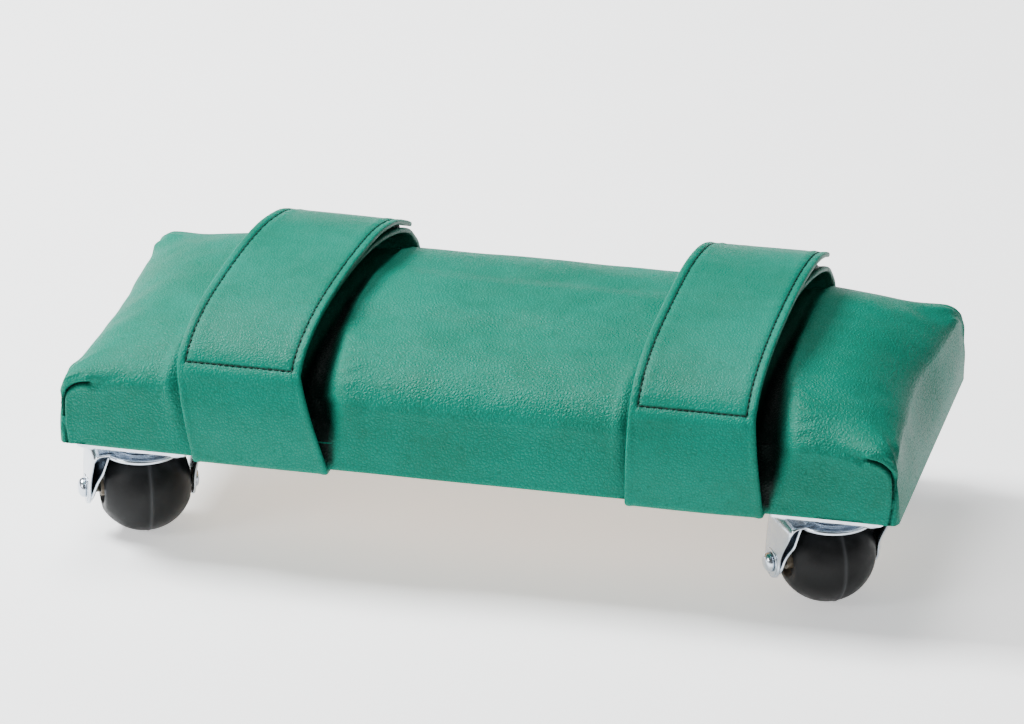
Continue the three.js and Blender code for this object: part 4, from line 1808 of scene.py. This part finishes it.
    def web(self, top: float, axle: float) -> tuple[np.ndarray, list[Face]]:
        """The channel arm's rear wall between its outer and inner legs.

        Args:
            top: Height of the crown's top.
            axle: Height of the axle.

        Returns:
            Points and faces.
        """
        outline = [(-26.0, top - 2 * MM), (-15.6, top - 2 * MM), (-18.4, axle + 14 * MM),
                   (-21.6, axle + 6 * MM), (-24.6, axle - 2 * MM), (-26.0, axle - 2 * MM)]
        points = []
        for offset in (0.0, self.sheet):
            for x, z in outline:
                fall = float(smooth_step(np.array(z), axle, top))
                y = (self.trail + 6.5 * MM) * (1 - fall) + 16.5 * MM * fall
                points.append((x * MM, y + offset, z))
        n = len(outline)
        faces = [tuple(range(n)), tuple(reversed(range(n, 2 * n)))] + joined_faces(2, n)
        return np.array(points), faces

    def build(self, palette: Palette) -> None:
        """Make and dress every piece of the caster.

        Args:
            palette: The materials.
        """
        name = self.name
        swivel, wheel = f"{name}_swivel", f"{name}_wheel"
        dress(self.ball(), palette.rubber, wheel, (f"{name}_ball_wheel",))
        dress_frame_node(f"{name}_wheel_bush", palette.nylon)
        dress(self.fork(), palette.zinc, swivel, (f"{name}_fork",))

        near, far = -27.3, 29.1
        axle = turned(f"{name}_riveted_axle", in_mm([
            (0, near - 3.6), (1.6, near - 3.55), (3.2, near - 3.2), (4.4, near - 2.4), (5, near - 1.3),
            (5, near - 0.3), (4.7, near), (3, near), (3, far), (4.8, far), (5, far + 0.5), (4.2, far + 1.7),
            (2, far + 2.2), (0, far + 2.25)]), 48, self.on_axle)
        dress(axle, palette.zinc, swivel, (f"{name}_axle",))
        washer = turned(f"{name}_axle_washer", in_mm([
            (3.1, near + 0.02), (7, near + 0.02), (7.2, near + 0.15), (7.2, near + 0.28),
            (3.1, near + 0.28)]), 40, self.on_axle)
        dress(washer, palette.zinc, swivel)

        tall = (self.race_high - self.race_low) / MM
        race = turned(f"{name}_ball_race", in_mm([
            (4.3, 0), (13.9, 0), (14.4, 0.3), (14.5, 1.2), (14.1, 2.2), (13.2, 3.0), (12.4, tall - 0.2),
            (12.0, tall), (4.3, tall)], self.race_low), 64, self.upright())
        dress(race, palette.zinc, "root", (f"{name}_bearing_race",))

        pin_low, pin_high = (corner.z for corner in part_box(f"{name}_kingpin"))
        length = (pin_high - pin_low) / MM
        pin = turned(f"{name}_kingpin_rivet", in_mm([
            (0, 0), (2.4, 0.05), (4.2, 0.5), (5, 1.1), (5, 1.6), (4, 1.6), (4, length), (0, length)],
            pin_low), 40, self.upright())
        dress(pin, palette.zinc, "root", (f"{name}_kingpin",))

        for number in range(1, 5):
            self.screw(number, palette)
        plate = frame["nodes"][f"{name}_caster_plate"]
        dress_frame_node(f"{name}_caster_plate", palette.zinc)
        bevel = plate.modifiers.new("soft edges", "BEVEL")
        bevel.width = 0.35 * MM
        bevel.segments = 2
        bevel.limit_method = "ANGLE"

    def screw(self, number: int, palette: Palette) -> None:
        """Make one pan-head plate screw with a cross recess.

        Args:
            number: Which of the plate's screws, from 1.
            palette: The materials.
        """
        node = f"{self.name}_plate_screw_{number}"
        low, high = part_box(node)
        x, y = (low.x + high.x) / 2 - self.axis.x, (low.y + high.y) / 2 - self.axis.y
        length = (high.z - low.z) / MM
        outline = [(0, 1.3), (1.1, 0.75), (1.5, 0.1), (2.4, 0.0), (3.4, 0.35), (4.0, 1.0), (4.2, 1.7),
                   (4.1, 2.2), (2.1, 2.2), (2.1, length - 3), (0.5, length), (0, length)]

        def cross_recess(place: int, radius: float, angle: float) -> float:
            """Radius at an angle, cross-shaped at the recess's floor and mouth and round beyond."""
            cross = abs(math.cos(2 * angle)) ** 6
            recess = ((0.5 + 1.9 * cross) * MM, (0.8 + 2.0 * cross) * MM)
            return recess[place] if place < len(recess) else radius

        piece = turned(f"{self.name}_pan_screw_{number}", in_mm(outline, low.z), 32, self.upright(x, y),
                       cross_recess)
        fix_normals(piece)
        dress(piece, palette.zinc, "root", (node,))


# --- Fastenings under the board ---------------------------
@dataclass
class HemStaples:
    """Wire staples that hold the cover's hem and the straps' feet to the board."""

    pitch: float = 27 * MM
    crown_width: float = 10 * MM
    wire: float = 0.55 * MM

    def build(self, deck: PaddedDeck, palette: Palette) -> bpy.types.Object:
        """Lay the staples as one piece.

        Args:
            deck: The padded deck.
            palette: The materials.

        Returns:
            The new piece.
        """
        inset = deck.hem_width - 8 * MM
        x, y = deck.half_x - inset, deck.half_y - inset
        places = []
        for i in range(int(2 * (x - 40 * MM) / self.pitch) + 1):
            along = -x + 46 * MM + i * self.pitch
            places += [(along, -y, 0.0), (along, y, 0.0)]
        for along in np.arange(-y + 46 * MM, y - 40 * MM, self.pitch):
            places += [(-x, along, math.pi / 2), (x, along, math.pi / 2)]
        points, faces = [], []
        margin = 6 * MM
        covered = [reach_across(f"front_band_{side}", 2, False) for side in ("left", "right")]
        for px, py, heading in places:
            under_strap = any(low - margin < px < high + margin for low, high in covered)
            if not under_strap or heading:
                self.add_staple(points, faces, px, py, deck.bottom, heading)
        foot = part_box("front_band_left")[0].z
        for low, high in covered:
            for face in (-1, 1):
                for k in range(4):
                    px = low + (high - low) * (k + 0.5) / 4
                    self.add_staple(points, faces, px, face * 66 * MM, foot, 0.35 if k % 2 else -0.2)
        piece = new_object("hem_staples", np.array(points), faces)
        fix_normals(piece)
        return dress(piece, palette.zinc, "root")

    def add_staple(self, points: list, faces: list, x: float, y: float, z: float, heading: float) -> None:
        """Add one staple's crown, lying on a downward face, with its bent shoulders.

        Args:
            points: Points so far, which grow.
            faces: Faces so far, which grow.
            x: Place along the board.
            y: Place across the board.
            z: Height of the face it lies on.
            heading: Its direction from X.
        """
        base = len(points)
        cos, sin = math.cos(heading), math.sin(heading)
        half = self.crown_width / 2
        path = [(-half, 0.6), (-half, -0.15), (-half + 0.4 * MM, -0.45), (half - 0.4 * MM, -0.45),
                (half, -0.15), (half, 0.6)]
        for along, rise in path:
            for across, up in ((-1, -0.5), (1, -0.5), (1, 0.5), (-1, 0.5)):
                bent = up * self.wire if abs(along) == half else 0
                px = along + (-bent if along > 0 else bent)
                py = across * self.wire
                pz = z + rise * MM * 0.6 + up * self.wire * 0.6
                points.append((x + px * cos - py * sin, y + px * sin + py * cos, pz))
        faces += shifted(joined_faces(len(path), 4), base)
        last = base + (len(path) - 1) * 4
        faces.append((base, base + 1, base + 2, base + 3))
        faces.append((last + 3, last + 2, last + 1, last))


# --- Studio -----------------------------------------------
@dataclass
class Studio:
    """Camera, floor and soft lights."""

    azimuth: float = 13.34
    elevation: float = 24.32
    distance: float = 3.914
    lens: float = 271.3
    target: tuple[float, float, float] = (-0.0022, 0.0, 0.0858)

    def camera(self) -> None:
        """Stand the camera off the target at its azimuth and elevation."""
        a, e = math.radians(self.azimuth), math.radians(self.elevation)
        back = Vector((math.sin(a) * math.cos(e), -math.cos(a) * math.cos(e), math.sin(e)))
        data = bpy.data.cameras.new("camera")
        data.lens = self.lens
        data.sensor_width = 36.0
        data.clip_end = 100.0
        camera = bpy.data.objects.new("camera", data)
        camera.location = Vector(self.target) + back * self.distance
        camera.rotation_euler = back.to_track_quat("Z", "Y").to_euler()
        bpy.context.scene.collection.objects.link(camera)
        bpy.context.scene.camera = camera

    def light(self, name: str, place: tuple[float, float, float], size: tuple[float, float], power: float,
              colour: tuple[float, float, float] = (1.0, 1.0, 1.0)) -> None:
        """Hang one soft light that faces the object.

        Args:
            name: Its name.
            place: Where it hangs.
            size: Its width and height.
            power: Its power in watts.
            colour: Its colour.
        """
        data = bpy.data.lights.new(name, "AREA")
        data.shape = "RECTANGLE"
        data.size, data.size_y = size
        data.energy = power
        data.color = colour
        data.specular_factor = 0.3
        lamp = bpy.data.objects.new(name, data)
        lamp.location = place
        lamp.rotation_euler = (Vector(place) - Vector((0, 0, 0.08))).to_track_quat("Z", "Y").to_euler()
        bpy.context.scene.collection.objects.link(lamp)

    def floor(self) -> None:
        """Lay a wide pale floor."""
        half = 12.0
        piece = new_object("studio_floor", np.array([(-half, -half, 0), (half, -half, 0), (half, half, 0),
                                                     (-half, half, 0)]), [(0, 1, 2, 3)])
        material, sketch, shader = new_material("pale floor")
        tone = SHELF.place(sketch, Effect.MOTTLE, {"First": (0.93, 0.93, 0.93, 1.0),
                                                   "Second": (0.9, 0.9, 0.9, 1.0), "Scale": 1.5})
        sketch.fill(shader, {"Base Color": tone.outputs["Color"], "Roughness": 0.9,
                             "Emission Color": (1.0, 1.0, 1.0, 1.0), "Emission Strength": 0.7})
        piece.data.materials.append(material)

    def build(self) -> None:
        """Set up the whole studio."""
        self.camera()
        self.floor()
        self.light("key_panel", (-1.8, 0.2, 2.1), (0.9, 0.8), 185.0, (0.97, 0.99, 1.0))
        self.light("sky_panel", (-0.5, 0.6, 2.4), (1.4, 0.9), 58.0)
        self.light("left_fill", (-1.9, -1.7, 1.1), (0.9, 0.8), 30.0)
        world = bpy.data.worlds.new("studio air")
        world.use_nodes = True
        background = world.node_tree.nodes["Background"]
        background.inputs["Color"].default_value = (1.0, 1.0, 1.0, 1.0)
        background.inputs["Strength"].default_value = 0.14
        bpy.context.scene.world = world


def main() -> None:
    """Build the studio, then every sub-assembly."""
    logging.basicConfig(level=logging.INFO, format="%(name)s: %(message)s")
    Studio().build()
    palette = Palette()
    deck = PaddedDeck()
    deck.build(palette)
    for seed, side in enumerate(("left", "right"), start=3):
        ends = {} if side == "right" else {"free_end": ((0.8225, 0.82), (0.91, 0.6), (0.9645, 0.41))}
        StrapLoop(side, seed, **ends).build(palette)
    for name in ("front_left", "front_right", "rear_left", "rear_right"):
        BallCaster(name).build(palette)
    HemStaples().build(deck, palette)


if __name__ == "__main__":
    main()
